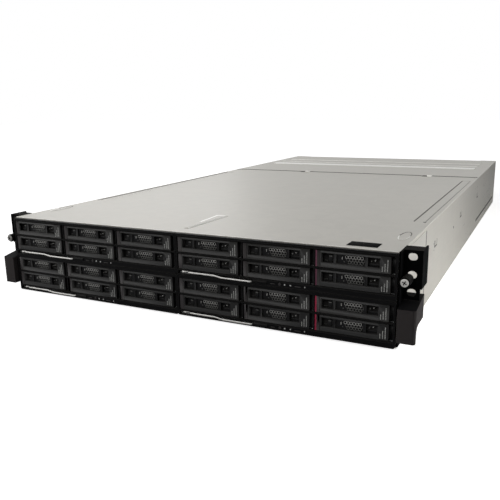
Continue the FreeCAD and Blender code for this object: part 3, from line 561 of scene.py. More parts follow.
def driveWindows(bm):
    parts = driveParts
    for z, start, count, finish in parts["hexRows"]:
        for i in range(count):
            hexCell(bm, start + i * parts["hexPitch"], z, finish)
    x, y, z = parts["plain"]
    for vert in block(bm, x, y, z):
        if vert.co.x > sum(x) / 2 and vert.co.z < sum(z) / 2:
            vert.co.x += parts["plainLean"]  # the plain part widens downwards
    for x, y, z, finish, rounding in parts["fittings"]:
        fitting = block(bm, x, y, z, finish)
        if rounding:
            softenEdges(bm, rounding, edges=edgesOf(fitting))
    radius, length, tip = parts["pinSize"]
    for x, z, finish in parts["pins"]:
        stub(bm, (x, parts["pinDepth"], z), radius, length, sides=14, finish=finish, tip=tip)
    for column, (x, top) in enumerate(parts["inkColumns"]):  # plain dashes in three columns
        z = parts["inkLow"]
        for dash in (parts["inkDashes"] * 3)[column:]:
            if z + dash >= top:
                break
            block(bm, (x, x + parts["inkWidth"]), parts["inkDepth"], (z, z + dash), paleInk)
            z += dash + parts["inkGap"]


def driveDisk(bm):
    parts = driveParts
    wide, tall, margin = parts["width"], parts["height"], parts["diskMargin"]
    rise = (margin, tall - margin)
    case = block(bm, (parts["rail"], wide - parts["rail"]), parts["disk"], rise, diskCase)
    top = [f for f in facesOf(case) if f.calc_center_median().z > rise[1] - 0.01]
    for thickness, depth in parts["diskSteps"]:
        bmesh.ops.inset_region(bm, faces=top, thickness=thickness, depth=depth)
    for x in (parts["screwX"], wide - parts["screwX"]):
        for y in parts["screwDepths"]:
            place = (x, y, parts["screwZ"])
            stub(bm, place, *parts["screwSize"], axis="x", sides=12, finish=screwSteel)
    block(bm, *parts["plug"], socketBlack)


def driveShape(trim):
    bm = bmesh.new()
    driveFront(bm)
    driveWindows(bm)
    driveDisk(bm)
    if trim:
        rise = (driveParts["margin"], driveParts["height"] - driveParts["margin"])
        block(bm, driveParts["trimX"], driveParts["trimDepth"], rise, trim)
    return bm


latchTrims = {2: plumTrim, 4: crimsonTrim}  # coloured latches in the last column of these nodes
driveMasters = {number: driveShape(latchTrims.get(number)) for number in (0, *latchTrims)}
for number in range(1, 5):
    for place in range(1, 7):
        name = "drive_%d_%d" % (number, place)
        trimmed = number in latchTrims and place in (3, 6)
        bm = driveMasters[number if trimmed else 0].copy()
        spot = moveTo(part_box(name)[0]) @ Matrix.Scale(0.001, 4)
        unit = "driveUnit_%d_%d" % (number, place)
        keepPiece(unit, bm, driveShell, name, [name], spot, smooth=0.5)
for bm in driveMasters.values():
    bm.free()
print("drives dressed")

nodeFront = {
    "left": (-222.2, 0.8, -222.2, 0.8), "low": (44.3, 44.3, 1.3, 1.3), "row": 2.5,
    "dress": {  # finish, width and segments of the soft edge
        "_bezel": (bezelShell, 0.00022), "_lever": (leverSteel, 0.00028, 3),
        "_power_button": (latchShell, 0.0002, 3), "_tray": (zincTray, 0.00015, 1),
    },
    "lamps": ((118.6, 0.75), (124.4, 0.75), (138.6, 0.6)), "lensDepth": -0.05, "lensLong": 0.5,
    "lensTip": 0.8, "ringWidth": 0.35, "ringLong": 0.3, "lampRound": 0.08,
    "bands": ((104.0, 108.6), (128.6, 134.8)), "bandDepth": (-0.35, 0.3), "bandZ": (1.7, 2.4),
    "bandRound": 0.12,
    "beads": ((86.0, 0.4, (4.15, 4.7)), (100.5, 0.3, (-0.25, 0.3))),  # start, how proud, z
    "topBead": (0.2, 0.45, (39.9, 40.6)), "beadEnd": 220.8, "beadRoot": 0.5, "beadRound": 0.2,
    "eye": (5.2, 6.2), "bush": (2.4, 3.75), "bushZ": (1.0, 2.35), "bushSteps": 32, "bushRound": 0.2,
}
for number in range(1, 5):
    parts = nodeFront
    left, low = parts["left"][number - 1], parts["low"][number - 1]
    body = "node_%d" % number
    for ending, finish in parts["dress"].items():
        dressNode(body + ending, *finish)

    bm = bmesh.new()  # round lamps in their rings, and two slim ribs
    for x, radius in parts["lamps"]:
        x, z = left + x, low + parts["row"]
        stub(bm, (x, parts["lensDepth"], z), radius, parts["lensLong"], tip=radius * parts["lensTip"])
        stub(bm, (x, 0.0, z), radius + parts["ringWidth"], parts["ringLong"], finish=latchShell)
    softenEdges(bm, parts["lampRound"])
    for band in parts["bands"]:
        rib = blockAt(bm, (left, 0, low), (band, parts["bandDepth"], parts["bandZ"]), latchShell)
        softenEdges(bm, parts["bandRound"], edges=edgesOf(rib))
    keepPiece("lampRow_%d" % number, bm, lensPale, body)

    bm = bmesh.new()  # beads along the bezel
    for start, proud, z in [*parts["beads"], parts["topBead"]] if number < 3 else parts["beads"]:
        blockAt(bm, (left, 0, low), ((start, parts["beadEnd"]), (-proud, parts["beadRoot"]), z))
    softenEdges(bm, parts["beadRound"], 3)
    keepPiece("bezelBead_%d" % number, bm, bezelShell, body)

    bm = bmesh.new()  # bright bush under the lever's eye, round its pin
    x, y = left + parts["eye"][0], parts["eye"][1]
    (inner, outer), (bottom, top) = parts["bush"], parts["bushZ"]
    section = moveTo((x + (inner + outer) / 2, y, low + (bottom + top) / 2)) @ turnTo["y"]
    section = section @ Matrix.Diagonal((outer - inner, top - bottom, 1.0, 1.0))
    section = section @ Matrix.Rotation(math.pi / 4, 4, "Z")
    verts = bmesh.ops.create_circle(bm, segments=4, radius=math.sqrt(0.5), matrix=section)["verts"]
    bmesh.ops.spin(
        bm, geom=verts + list(edgesOf(verts)), cent=(x, y, 0), axis=(0, 0, 1), angle=2 * math.pi,
        steps=parts["bushSteps"], use_merge=True,
    )
    bmesh.ops.recalc_face_normals(bm, faces=bm.faces[:])
    softenEdges(bm, parts["bushRound"])
    keepPiece("leverEnd_%d" % number, bm, leverSteel, "lever_%d" % number)
print("node fronts dressed")

memory = {
    "depths": (203.05, 358.05), "start": 46.0, "pitch": 9.0, "count": 4,
    "module": (  # socket, card and two clips
        ((-2.6, 2.6), (-3.0, 136.0), (6.6, 13.1), socketBlack), ((-0.6, 0.6), (0, 133.0), (9.6, 36.4), None),
        ((-1.6, 1.6), (-3.2, -0.4), (11.6, 21.6), latchWhite),
        ((-1.6, 1.6), (133.4, 136.2), (11.6, 21.6), latchWhite),
    ),
    "chips": 9, "chipPitch": 125 / 9, "chip": (((-1.4, 1.4), (4.0, 14.0), (19.1, 32.9), chipBlack),),
}
heatSink = {
    "depths": (217.55, 372.55),
    "base": (
        ((71.7, 149.7), (0, 104.0), (9.0, 12.6), finMetal),
        ((82.7, 138.7), (20.0, 84.0), (6.6, 9.0), socketBlack),
    ),
    "fins": 27, "finPitch": 77.3 / 26, "fin": (((71.7, 72.4), (0, 104.0), (12.6, 37.4), finMetal),),
    "posts": ((68.3, 14.0), (68.3, 90.0), (153.1, 14.0), (153.1, 90.0)),
    "postZ": 11.1, "postSize": (2.6, 9.0),
}
board = {
    "middle": 110.7, "low": 6.6,
    "chips": (  # left, front, width, depth, rise
        (20, 150, 26, 26, 2.2), (60, 156, 14, 10, 1.6), (150, 152, 18, 18, 1.8), (182, 158, 10, 14, 1.4),
        (30, 508, 30, 22, 2.0), (168, 512, 24, 24, 2.4), (150, 340, 9, 9, 1.2), (18, 340, 12, 8, 1.2),
    ),
    "cans": ((14, 10, 532, 10), (150, 6, 540, 8)), "canPitch": 9.0, "canRadius": 3.2,
    "headers": (26, 96, 166),
    "header": (
        ((0, 30), (142, 149), (6.6, 15.6), socketBlack),
        ((1.5, 28.5), (143.5, 147.5), (15.6, 16.0), contactGold),
    ),
    "plates": (  # board, drive backplane and rear connector
        ((4.0, 217.4), (139.4, 554.7), (5.0, 6.6), None), ((3.0, 218.4), (115.8, 117.4), (5.2, 40.4), None),
        ((80.7, 140.7), (542.7, 566.7), (6.6, 20.6), socketBlack),
    ),
    "contactColumns": 14, "contactRows": 3, "contactPitch": 4.0,
    "contact": (((84.7, 85.9), (566.4, 566.68), (9.6, 10.8), contactGold),),
    "coils": 6, "coilStart": 8, "coilPitch": 20, "coilX": (89.0, 96.0),
    "coil": (((-5, 5), (0, 10), (6.6, 13.6), diskCase),),
    "driver": (((-1.5, 1.5), (1, 6), (6.6, 8.0), chipBlack),),
    "plugX": (37.3, 110.7, 184.1), "plugZ": (5.6, 23.2),
    "plug": (  # at each drive
        ((-22, 22), (110.1, 115.8), (0, 5), socketBlack),
        ((-19, 19), (109.95, 110.1), (2.0, 2.9), contactGold),
        ((-25, -10), (117.4, 121.0), (1, 6), socketBlack), ((4, 9), (117.4, 118.6), (2, 7), chipBlack),
    ),
}


def memoryBank(bm, side, y):
    for i in range(memory["count"]):
        x = board["middle"] + side * (memory["start"] + i * memory["pitch"])
        blocksAt(bm, (x, y, 0), memory["module"])
        for j in range(memory["chips"]):
            blocksAt(bm, (x, y + j * memory["chipPitch"], 0), memory["chip"])
    for i in range(board["coils"]):  # coils and chips of the core supply beside each bank
        spot = y + board["coilStart"] + i * board["coilPitch"]
        for x, name in zip(board["coilX"], ("coil", "driver")):
            blocksAt(bm, (board["middle"] + side * x, spot, 0), board[name])


def finnedSink(bm, y):
    blocksAt(bm, (0, y, 0), heatSink["base"])
    for i in range(heatSink["fins"]):
        blocksAt(bm, (i * heatSink["finPitch"], y, 0), heatSink["fin"])
    for x, along in heatSink["posts"]:
        place = (x, y + along, heatSink["postZ"])
        stub(bm, place, *heatSink["postSize"], axis="z", sides=14, finish=contactGold)


def boardFittings(bm):
    low, pitch = board["low"], board["contactPitch"]
    for x, y, wide, deep, rise in board["chips"]:
        block(bm, (x, x + wide), (y, y + deep), (low, low + rise), chipBlack)
    for start, count, y, rise in board["cans"]:  # rows of round capacitors
        for i in range(count):
            place = (start + i * board["canPitch"], y, low + rise / 2)
            stub(bm, place, board["canRadius"], rise, axis="z", sides=14, finish=diskCase)
    for x in board["headers"]:  # cable headers at the front of the board
        blocksAt(bm, (x, 0, 0), board["header"])
    for row in range(board["contactRows"]):
        for i in range(board["contactColumns"]):
            blocksAt(bm, (i * pitch, 0, row * pitch), board["contact"])
    for x in board["plugX"]:
        for z in board["plugZ"]:
            blocksAt(bm, (x, 0, z), board["plug"])


def electronicsShape():
    bm = bmesh.new()
    blocksAt(bm, (0, 0, 0), board["plates"])
    for sinkY, moduleY in zip(heatSink["depths"], memory["depths"]):
        finnedSink(bm, sinkY)
        for side in (-1, 1):
            memoryBank(bm, side, moduleY)
    boardFittings(bm)
    return bm


for number in range(1, 5):
    spot = toFrame @ moveTo((nodeFront["left"][number - 1], 0, nodeFront["low"][number - 1]))
    body = "node_%d" % number
    stack, replaced = "boardStack_%d" % number, [body + "_electronics"]
    keepPiece(stack, electronicsShape(), boardGreen, body, replaced, spot, smooth=0)
print("boards dressed")

enclosureLooks = {  # finish, width and segments of the soft edge
    "chassis_shell": (galvanised,), "front_cover": (coverSheet, 0.0002), "rear_cover": (coverSheet, 0.0003),
    "io_cage": (galvanised, 0.00018, 1), "midplane": (boardGreen, 0),
    "fan_housings": (fanPlastic, 0.0002, 1),
    "left_ear": (earCoat, 0.0004, 3), "right_ear": (earCoat, 0.0004, 3),
    "left_ear_housing": (housingShell, 0.0005, 3), "right_ear_housing": (housingShell, 0.0005, 3),
}
for name, finish in enclosureLooks.items():
    dressNode(name, *finish)

coverTop = 87.0
cover = {
    "plate": ((174.0, 202.0), (12.0, 28.0), (86.9, 87.35)), "plateRound": 0.15,
    "oval": (213.2, 68.5), "ovalReach": (5.4, 19.0), "ovalRim": 0.9, "ovalZ": (-0.1, 0.25), "ovalDish": 0.15,
    "hole": (217.2, 143.0, 86.6), "holeSize": (1.7, 0.9),
    "seam": (559.2, 560.4), "seamZ": (86.8, 87.6), "seamRound": 0.2,
    "seamRuns": ((-222.5, -88.0), (-70.0, 132.0), (150.0, 222.5)),
    "tongues": (-79.0, 141.0), "tongueFront": 552.0, "mouthRound": 0.08, "endRound": 0.1,
    "mouths": (
        ((-7.2, 1.6), (-0.25, 0.3), (0.02, 0.72), None), ((-6.4, 0.8), (1.0, 6.0), (0.6, 0.86), None),
    ),
    "tongueEnds": (  # the first is turned up
        ((1.8, 8.6), (-0.2, 1.0), (0.1, 2.1), None), ((1.8, 8.6), (0.8, 6.5), (0.1, 0.95), None),
        ((5.4, 8.6), (6.5, 12.0), (0.7, 0.95), None),
    ),
    "press": (1.2, 0.8, 0.5),  # width of a pressed slope, rise of a bead and depth of a sunk strip
    "gleamThick": 0.12, "gleamWidth": 1.3, "sunk": ((205.0, 218.0), (144.0, 510.0)),
    "mark": ((2.5, 21.0), (7.0, 98.0)), "markGleam": 2.6, "ridgeFrom": 0.45, "ridgeEnd": 2.88,
    "ribs": (686.7, 734.7, 782.7), "ribHalf": 202.3, "ribTop": (11.0, 18.4),
    "lipGleam": 0.9, "lipHalf": 221.5,
}


def strip(bm, start, end, across, width, finish=None):  # thin plate from start to end
    start, end, lean = Vector(start), Vector(end), Vector(across).normalized()
    along = end - start
    ahead = along.normalized()
    basis = Matrix((ahead, lean, ahead.cross(lean))).transposed().to_4x4()
    size = Matrix.Diagonal((along.length, width, cover["gleamThick"], 1.0))
    unitCube(bm, moveTo((start + end) / 2) @ basis @ size, finish)


def crossStrip(bm, half, y, z, across, width):  # the same, from side to side
    strip(bm, (-half, y, z), (half, y, z), across, width)


bm = bmesh.new()  # bare black plate on the front cover
block(bm, *cover["plate"])
keepPiece("coverPlate", bm, plateBlack, "chassis", soft=cover["plateRound"])

bm = bmesh.new()  # oval pads near the front corners, and beside each strip a dark disc that stands for a pierced hole as painted shade
(x, y), (root, rise) = cover["oval"], cover["ovalZ"]
holeX, holeY, holeZ = cover["hole"]
for side in (-1, 1):
    pad = stub(bm, (0, 0, coverTop + (root + rise) / 2), 1.0, rise - root, axis="z", sides=40)
    place = moveTo((side * x, y, 0)) @ Matrix.Diagonal((*cover["ovalReach"], 1.0, 1.0))
    bmesh.ops.transform(bm, matrix=place, verts=pad)
    bm.normal_update()
    crown = [f for f in facesOf(pad) if f.normal.z > 0.9]
    rim = bmesh.ops.inset_region(
        bm, faces=crown, thickness=cover["ovalRim"], depth=-cover["ovalDish"]
    )["faces"]
    for face in rim:  # painted highlight at the front, painted shade at the rear
        paint([face], paintedHighlight if face.calc_center_median().y < y else shadeGrey)
    hole = (side * holeX, holeY, holeZ)
    stub(bm, hole, *cover["holeSize"], axis="z", sides=20, finish=shadowBlack)
keepPiece("coverPads", bm, coverSheet, "chassis")

bm = bmesh.new()  # dark strip that stands for the shadow in the seam between the covers: painted shadow
for run in cover["seamRuns"]:
    block(bm, run, cover["seam"], cover["seamZ"])
keepPiece("seamStrip", bm, seamShade, "chassis", soft=cover["seamRound"])

bm = bmesh.new()  # dark blocks in the mouths of the two tongues: painted shade
for x in cover["tongues"]:
    blocksAt(bm, (x, cover["tongueFront"], coverTop), cover["mouths"])
keepPiece("tongueMouths", bm, shadowBlack, "rear_cover", soft=cover["mouthRound"])

bm = bmesh.new()  # painted highlights on the slopes of the pressed mark and the front lip, painted shade on the slopes of the sunk strips
lean, rise, sink = cover["press"]
width, wide = cover["gleamWidth"], cover["markGleam"]
(tip, front), (tail, rear) = cover["mark"]
z, ridge = coverTop + rise / 2, coverTop + rise
for side in (-1, 1):
    start, end = (side * (tip - lean / 2), front + lean, z), (side * (tail - lean / 2), rear - lean, z)
    strip(bm, start, end, (-side * lean, 0, rise), width)
crossStrip(bm, tail - lean, rear - lean / 2, z, (0, -lean, rise), width)
start, end = Vector((lean - tip, front, ridge)), Vector((wide / 2 + lean - tail, rear - 2 * lean, ridge))
strip(bm, start.lerp(end, cover["ridgeFrom"]), end, (1, 0, 0), wide)  # painted highlight on the ridge along the mark's left side
crossStrip(bm, tail - lean, rear - cover["ridgeEnd"], ridge, (0, 1, 0), wide)
(inner, outer), (front, rear) = cover["sunk"]
z = coverTop - sink / 2
for side in (-1, 1):
    for edge, inward in ((inner, 1), (outer, -1)):
        x = side * (edge + inward * lean / 2)
        across = (side * inward * lean, 0, -sink)
        strip(bm, (x, front + lean, z), (x, rear - lean, z), across, width, shadeGrey)
lip = (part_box("front_cover")[0][1] - frontPlane) * 1000 + cover["lipGleam"] / 2
crossStrip(bm, cover["lipHalf"], lip, coverTop, (0, 1, 0), cover["lipGleam"])
keepPiece("pressedSlopes", bm, paintedHighlight, "chassis", smooth=0)

bm = bmesh.new()  # painted highlights on the front slopes of the ribs, on the nearest rib's top and on the ends of the tongues
for front in cover["ribs"]:
    crossStrip(bm, cover["ribHalf"], front + lean / 2, coverTop + rise / 2, (0, lean, rise), width)
middle, wide = cover["ribTop"]
crossStrip(bm, cover["ribHalf"], cover["ribs"][0] + middle, ridge, (0, 1, 0), wide)
for x in cover["tongues"]:
    blocksAt(bm, (x, cover["tongueFront"], coverTop), cover["tongueEnds"])
keepPiece("ribSlopes", bm, paintedHighlight, "rear_cover", soft=cover["endRound"], smooth=0)

knob = {
    "x": 229.6, "z": 62.2, "front": -1.4, "rear": 13.0, "forward": 0.03, "radius": 4.5, "flutes": 26,
    "fluteShare": 0.95, "head": 3.5, "headRise": 1.45, "headRoot": 0.1, "headRound": 0.35,
    "recess": 2.1, "recessWidth": 0.5, "recessTurn": 0.5, "recessProud": 0.09,
}


def captiveKnob(side, headFinish):
    x, z, front = side * knob["x"], knob["z"], knob["front"]
    length, flutes, share = knob["rear"] - front, knob["flutes"], knob["fluteShare"]
    bm = bmesh.new()
    middle = (x, front + length / 2 - knob["forward"], z)
    for vert in stub(bm, middle, knob["radius"], length, sides=2 * flutes):
        turn = round(math.atan2(vert.co.z - z, vert.co.x - x) / (math.pi / flutes))
        if turn % 2:  # every second line goes in, as knurling does
            vert.co.x = x + (vert.co.x - x) * share
            vert.co.z = z + (vert.co.z - z) * share
    face = front - knob["headRise"]
    middle, rise = (x, (front + face) / 2, z), knob["headRise"] + knob["headRoot"]
    head = stub(bm, middle, knob["head"], rise, sides=32, finish=headFinish)
    softenEdges(bm, knob["headRound"], 3, edges=edgesOf(head))
    reach, half = knob["recess"], knob["recessWidth"]
    for turn in (0, math.pi / 2):  # cross recess, as dark bars set into the head: painted shade
        bar = block(bm, (-reach, reach), (face - knob["recessProud"], front), (-half, half), shadowBlack)
        spin = moveTo((x, 0, z)) @ Matrix.Rotation(turn + knob["recessTurn"], 4, "Y")
        bmesh.ops.transform(bm, matrix=spin, verts=bar)
    return bm


# the left head takes the darker copy of the screw steel: painted shade
for side, name, head in ((-1, "left", shadedScrewSteel), (1, "right", screwSteel)):
    bm = captiveKnob(side, head)
    keepPiece("captiveScrew_" + name, bm, knobBlack, "chassis", smooth=0)

wall = {
    "rounds": (  # place, radius, length and finish of rivets, a stud and a dark disc that stands for a hole as painted shade
        *(((223.55, y, z), 1.9, 0.4, None) for y, z in ((660, 74), (760, 74), (862, 74), (862, 30))),
        ((223.6, 171.0, 51.6), 1.3, 0.5, screwSteel), ((223.45, 310.0, 51.0), 1.7, 0.3, shadowBlack),
    ),
    "groove": ((222.95, 223.2), (566.0, 855.7), (11.5, 16.5)),
    "step": ((224.3, 224.58), (114.4, 117.4), (2.4, 83.6)),  # grey strip at the edge of the plate behind the ear: painted shadow
    "hooks": (180.0, 374.0, 565.0),
    "hook": (  # each is a tab formed outwards between grey strips of painted shade
        ((223.4, 223.6), (-7.6, -4.8), (55.6, 61.4), shadeGrey),
        ((223.4, 223.6), (4.8, 7.6), (55.6, 61.4), shadeGrey),
        ((223.4, 223.6), (-7.6, 7.6), (53.6, 55.6), shadeGrey),
        ((223.4, 223.72), (-4.8, 4.8), (55.6, 61.4), None),
    ),
    "edgeRound": 0.06,
}
bm = bmesh.new()  # rivets, stud, a dark disc for a hole, painted shade in the groove, hooks and a painted shadow at the plate's edge on each wall
for side in (-1, 1):
    for (x, y, z), radius, length, finish in wall["rounds"]:
        stub(bm, (side * x, y, z), radius, length, axis="x", sides=18, finish=finish)
    plates = [(*wall[name], shadeGrey, 0) for name in ("groove", "step")]
    plates += [(*spans, y) for y in wall["hooks"] for spans in wall["hook"]]
    for x, y, z, finish, along in plates:
        blockAt(bm, (0, along, 0), (sorted(side * value for value in x), y, z), finish)
keepPiece("wallFasteners", bm, galvanised, "chassis", soft=wall["edgeRound"])
print("enclosure dressed")

rotor = {
    "x": (-166.875, -55.625, 55.625, 166.875), "z": 41.0, "hub": (593.7, 620.2), "hubRadius": 15.2,
    "hubRound": 1.6, "reach": (14.2, 36.8), "blades": 7, "chord": (13.0, 25.0), "pitch": (58.0, 34.0),
    "thick": 1.2, "camber": 1.4, "sweep": 0.35,
}


def between(pair, share):
    return pair[0] + share * (pair[1] - pair[0])


def fanRotor(index):
    x, z = rotor["x"][index], rotor["z"]
    front, rear = rotor["hub"]
    middle = Vector((x, (front + rear) / 2, z))
    bm = bmesh.new()
    stub(bm, middle, rotor["hubRadius"], rear - front, sides=40)
    softenEdges(bm, rotor["hubRound"], 4)
    for i in range(rotor["blades"]):
        sheet = bmesh.ops.create_grid(bm, x_segments=4, y_segments=5, size=0.5)["verts"]
        for vert in sheet:  # each blade is a grid, twisted and cambered from root to tip
            along = vert.co.y + 0.5
            radius = between(rotor["reach"], along)
            pitch = math.radians(between(rotor["pitch"], along))
            across = vert.co.x * between(rotor["chord"], along)
            swing = across * math.cos(pitch) / radius + rotor["sweep"] * along
            bow = rotor["camber"] * (1 - (2 * vert.co.x) ** 2)
            vert.co = (radius * math.sin(swing), across * math.sin(pitch) + bow, radius * math.cos(swing))
        solid = bmesh.ops.solidify(bm, geom=list(facesOf(sheet)), thickness=rotor["thick"])["geom"]
        blade = list({*sheet, *vertsIn(solid)})
        turn = Matrix.Rotation(i * 2 * math.pi / rotor["blades"], 4, "Y")
        bmesh.ops.transform(bm, matrix=moveTo(middle) @ turn, verts=blade)
    bmesh.ops.recalc_face_normals(bm, faces=bm.faces[:])
    return bm


for index in range(4):
    fan, body, replaced = (word + "_%d" % (index + 1) for word in ("fanBlades", "fan", "fan_rotor"))
    keepPiece(fan, fanRotor(index), fanPlastic, body, [replaced], smooth=0.8)

supply = {
    "low": (44.3, 1.3), "inlet": ((152.35, 179.05), (859.8, 876.3), (6.15, 25.85)),
    "rimWidth": 2.2, "mouthDepth": 14.5, "rimRound": 0.3, "tabRound": 0.4, "plasticFrom": 875.72,
    "blades": ((158.7, 13.5), (165.7, 18.5), (172.7, 13.5)),
    "blade": ((-1.0, 1.0), (862.0, 872.5), (-2.2, 2.2)),
    "grille": ((189.2, 216.2), (872.72, 872.9), (6.0, 9.0)), "slots": 5, "slotStep": 5.0,
    "lamp": (186.0, 875.8, 37.6), "lampSize": (1.2, 0.6), "edge": 0.0003,
    "tab": ((205.9, 216.5), (878.3, 882.0), (35.2, 38.7)),
    "grip": ((20, 20, 21), (31, 31, 32)), "caseMetallic": 0.7,
}


def plasticBeyond(name, case, depth):  # pressed case up to a depth, black moulded grips behind it
    material = case.copy()
    material.name = name
    tree = material.node_tree
    shader = tree.nodes["Principled BSDF"].inputs
    axes = addNode(tree, "SeparateXYZ", {0: objectPlace(tree)})
    beyond = compute(tree, "GREATER_THAN", axes.outputs["Y"], frontPlane + depth / 1000)
    skin = useGroup(tree, surfaceGrain, {"Scale": 1500.0, "Drift Scale": 14.0})
    moulded = mixColours(tree, skin["Drift"], *[tint(colour) for colour in supply["grip"]])
    sheet = shader["Base Color"].links[0].from_socket
    feed(tree, shader["Base Color"], mixColours(tree, beyond, sheet, moulded))
    feed(tree, shader["Metallic"], spread(tree, beyond, supply["caseMetallic"], 0.0))
    return material


supplyCase = plasticBeyond("supplyCase", zincTray, supply["plasticFrom"])
for number, low in zip((1, 2), supply["low"]):
    name = "psu_%d" % number
    dressNode(name, supplyCase, supply["edge"])
    bm = bmesh.new()  # inlet liner with three blades
    inletX, inletY, inletZ = supply["inlet"]
    blockAt(bm, (0, 0, low), supply["inlet"])
    mouth = frontFaces(bm, inletX, [low + z for z in inletZ], inletY[1], facing=1)
    bmesh.ops.inset_region(bm, faces=mouth, thickness=supply["rimWidth"])
    push(bm, mouth, -supply["mouthDepth"])
    softenEdges(bm, supply["rimRound"])
    for x, z in supply["blades"]:
        blockAt(bm, (x, 0, low + z), supply["blade"], screwSteel)
    keepPiece("supplyInlet_%d" % number, bm, socketBlack, name)

    bm = bmesh.new()  # shadowed floors of the grille, a lamp and the latch's touch point
    for i in range(supply["slots"]):
        blockAt(bm, (0, 0, low + i * supply["slotStep"]), supply["grille"])
    x, y, z = supply["lamp"]
    stub(bm, (x, y, low + z), *supply["lampSize"], finish=lensPale)
    tab = blockAt(bm, (0, 0, low), supply["tab"], touchOrange)
    softenEdges(bm, supply["tabRound"], edges=edgesOf(tab))
    keepPiece("supplyTrim_%d" % number, bm, shadowBlack, name)

cage = {
    "covers": (-205.0, -184.68, -164.36, -144.04, 66.44, 86.76, 107.08, 127.4),
    "screwY": 877.1, "screwZ": 78.5, "screwSize": (2.6, 1.0), "ventRows": 11, "ventPitch": 5.4,
    "vents": (
        ((-6.2, -1.0), (876.55, 876.66), (13.5, 15.9), shadowBlack),
        ((1.0, 6.2), (876.55, 876.66), (13.5, 15.9), shadowBlack),
    ),
    "sockets": (-49.8, -27.8), "face": 876.9, "mouths": ((19.8, 28.8, 12.2, 13.0), (58.7, 68.7, 14.4, 40.0)),
    "floorThick": 0.9, "floorGap": 0.05, "frameOut": 0.5, "frameIn": 0.1, "frameY": (874.9, 877.3),
    "contacts": 8, "contactPitch": 1.2, "contact": ((-4.6, -4.1), (864.2, 872.0), (27.2, 27.7)),
    "lampX": 4.0, "lampY": 876.95, "lampRows": (31.8, 72.2), "lampSize": (0.9, 0.5),
}
bm = bmesh.new()  # screws of the rear cage, dark floors in its vents and socket mouths as painted shade, and frames round the mouths
for x in cage["covers"]:
    stub(bm, (x, cage["screwY"], cage["screwZ"]), *cage["screwSize"], sides=18)
    for row in range(cage["ventRows"]):
        blocksAt(bm, (x, 0, row * cage["ventPitch"]), cage["vents"])
face, gap, frameY = cage["face"], cage["floorGap"], cage["frameY"]
out, inside = cage["frameOut"], cage["frameIn"]
for x in cage["sockets"]:
    for low, high, wide, deep in cage["mouths"]:  # z from and to, width, depth
        left, right = around(x, wide / 2)
        floorY = (face - deep - cage["floorThick"], face - deep)
        block(bm, (left + gap, right - gap), floorY, (low, high), shadowBlack)
        for frameX in ((left - out, left + inside), (right - inside, right + out)):
            block(bm, frameX, frameY, (low - out, high + out))
        for frameZ in ((low - out, low + inside), (high - inside, high + out)):
            block(bm, (left - out, right + out), frameY, frameZ)
    for i in range(cage["contacts"]):
        blockAt(bm, (x + i * cage["contactPitch"], 0, 0), cage["contact"], contactGold)
    for lampX in around(x, cage["lampX"]):
        for z in cage["lampRows"]:
            stub(bm, (lampX, cage["lampY"], z), *cage["lampSize"], finish=lensPale)
keepPiece("cageFittings", bm, screwSteel, "io_cage", smooth=0)
print("rear dressed")

white = (1.0, 1.0, 1.0, 1.0)
studio = {
    "floorSize": 12.0, "floorDrop": 0.0006, "floorGlow": (0.72, 1.0), "glowReach": (0.5, 1.4),
    "floorPaint": {
        "Base Color": (0.9, 0.9, 0.9, 1.0), "Roughness": 0.9, "Specular IOR Level": 0.0,
        "Emission Color": white,
    },
    "worldFill": 0.05, "aim": (0, 0, 0.04),
    "lamps": {  # place, size and power
        "back": ((-0.8, 0.6, 0.7), 0.8, 3.3),
        "front": ((-0.3, -2.2, 1.2), 1.2, 16.0),
        "left": ((-0.8, -0.8, 0.6), 0.8, 3.6),
        "right": ((0.95, -0.25, 0.8), 0.5, 2.2),
        "low": ((0.62, -0.3, 0.06), 0.2, 1.8),
    },
}
world = bpy.data.worlds.new("studioWorld")
scene.world = world
world.use_nodes = True
tree = world.node_tree
background = tree.nodes["Background"].inputs
path = addNode(tree, "LightPath").outputs  # white where it is seen, straight or mirrored
seen = compute(tree, "MAXIMUM", path["Is Camera Ray"], path["Is Glossy Ray"])
seen = compute(tree, "MAXIMUM", seen, path["Is Transmission Ray"])
feed(tree, background["Strength"], spread(tree, seen, studio["worldFill"], 1.0))
background["Color"].default_value = white

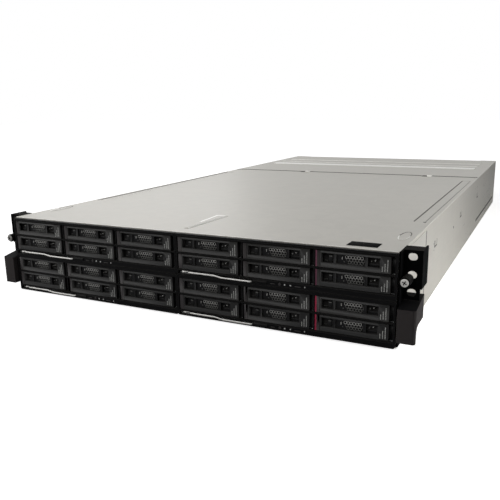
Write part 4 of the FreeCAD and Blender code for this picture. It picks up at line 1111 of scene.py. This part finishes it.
bm = bmesh.new()
bmesh.ops.create_grid(bm, x_segments=1, y_segments=1, size=studio["floorSize"] / 2)
bmesh.ops.translate(bm, verts=bm.verts[:], vec=(0, 0, -studio["floorDrop"]))
floorPaint, tree, shader = startMaterial("floorPaint", studio["floorPaint"])
path = addNode(tree, "LightPath").outputs  # seen straight, as white as the background
away = addNode(tree, "VectorMath", {0: objectPlace(tree)}, operation="LENGTH")
reach = dict(zip(("From Min", "From Max"), studio["glowReach"]))
glow = spread(tree, away.outputs["Value"], *studio["floorGlow"], reach)
feed(tree, shader["Emission Strength"], compute(tree, "MULTIPLY", path["Is Camera Ray"], glow))
floor = makeObject("studioFloor", bm, [floorPaint])

for name, (place, size, power) in studio["lamps"].items():
    lamp = bpy.data.lights.new(name + "Light", "AREA")
    lamp.shape = "SQUARE"
    lamp.size = size
    lamp.energy = power
    holder = bpy.data.objects.new(name + "Light", lamp)
    holder.location = place
    holder.rotation_euler = (Vector(studio["aim"]) - Vector(place)).to_track_quat("-Z", "Y").to_euler()
    scene.collection.objects.link(holder)

view = {
    "spot": (332.13, -491.42, 209.54), "turn": 26.785, "tilt": 13.564, "roll": -0.952,
    "focal": 601.89, "frame": 500.0, "sensor": 36.0,
}
turn, tilt, roll = (math.radians(view[k]) for k in ("turn", "tilt", "roll"))
ahead = Vector((-math.sin(turn) * math.cos(tilt), math.cos(turn) * math.cos(tilt), -math.sin(tilt)))
right = Vector((math.cos(turn), math.sin(turn), 0))
up = right.cross(ahead)
rolledRight = math.cos(roll) * right + math.sin(roll) * up
rolledUp = -math.sin(roll) * right + math.cos(roll) * up
lens = bpy.data.cameras.new("photoCamera")
lens.sensor_width = view["sensor"]
lens.lens = view["focal"] / view["frame"] * lens.sensor_width
camera = bpy.data.objects.new("photoCamera", lens)
basis = Matrix((rolledRight, rolledUp, -ahead)).transposed().to_4x4()
camera.matrix_world = moveTo(toFrame @ Vector(view["spot"])) @ basis
scene.collection.objects.link(camera)
scene.camera = camera
scene.view_settings.view_transform = "Standard"
print("studio set")

bpy.context.view_layer.update()
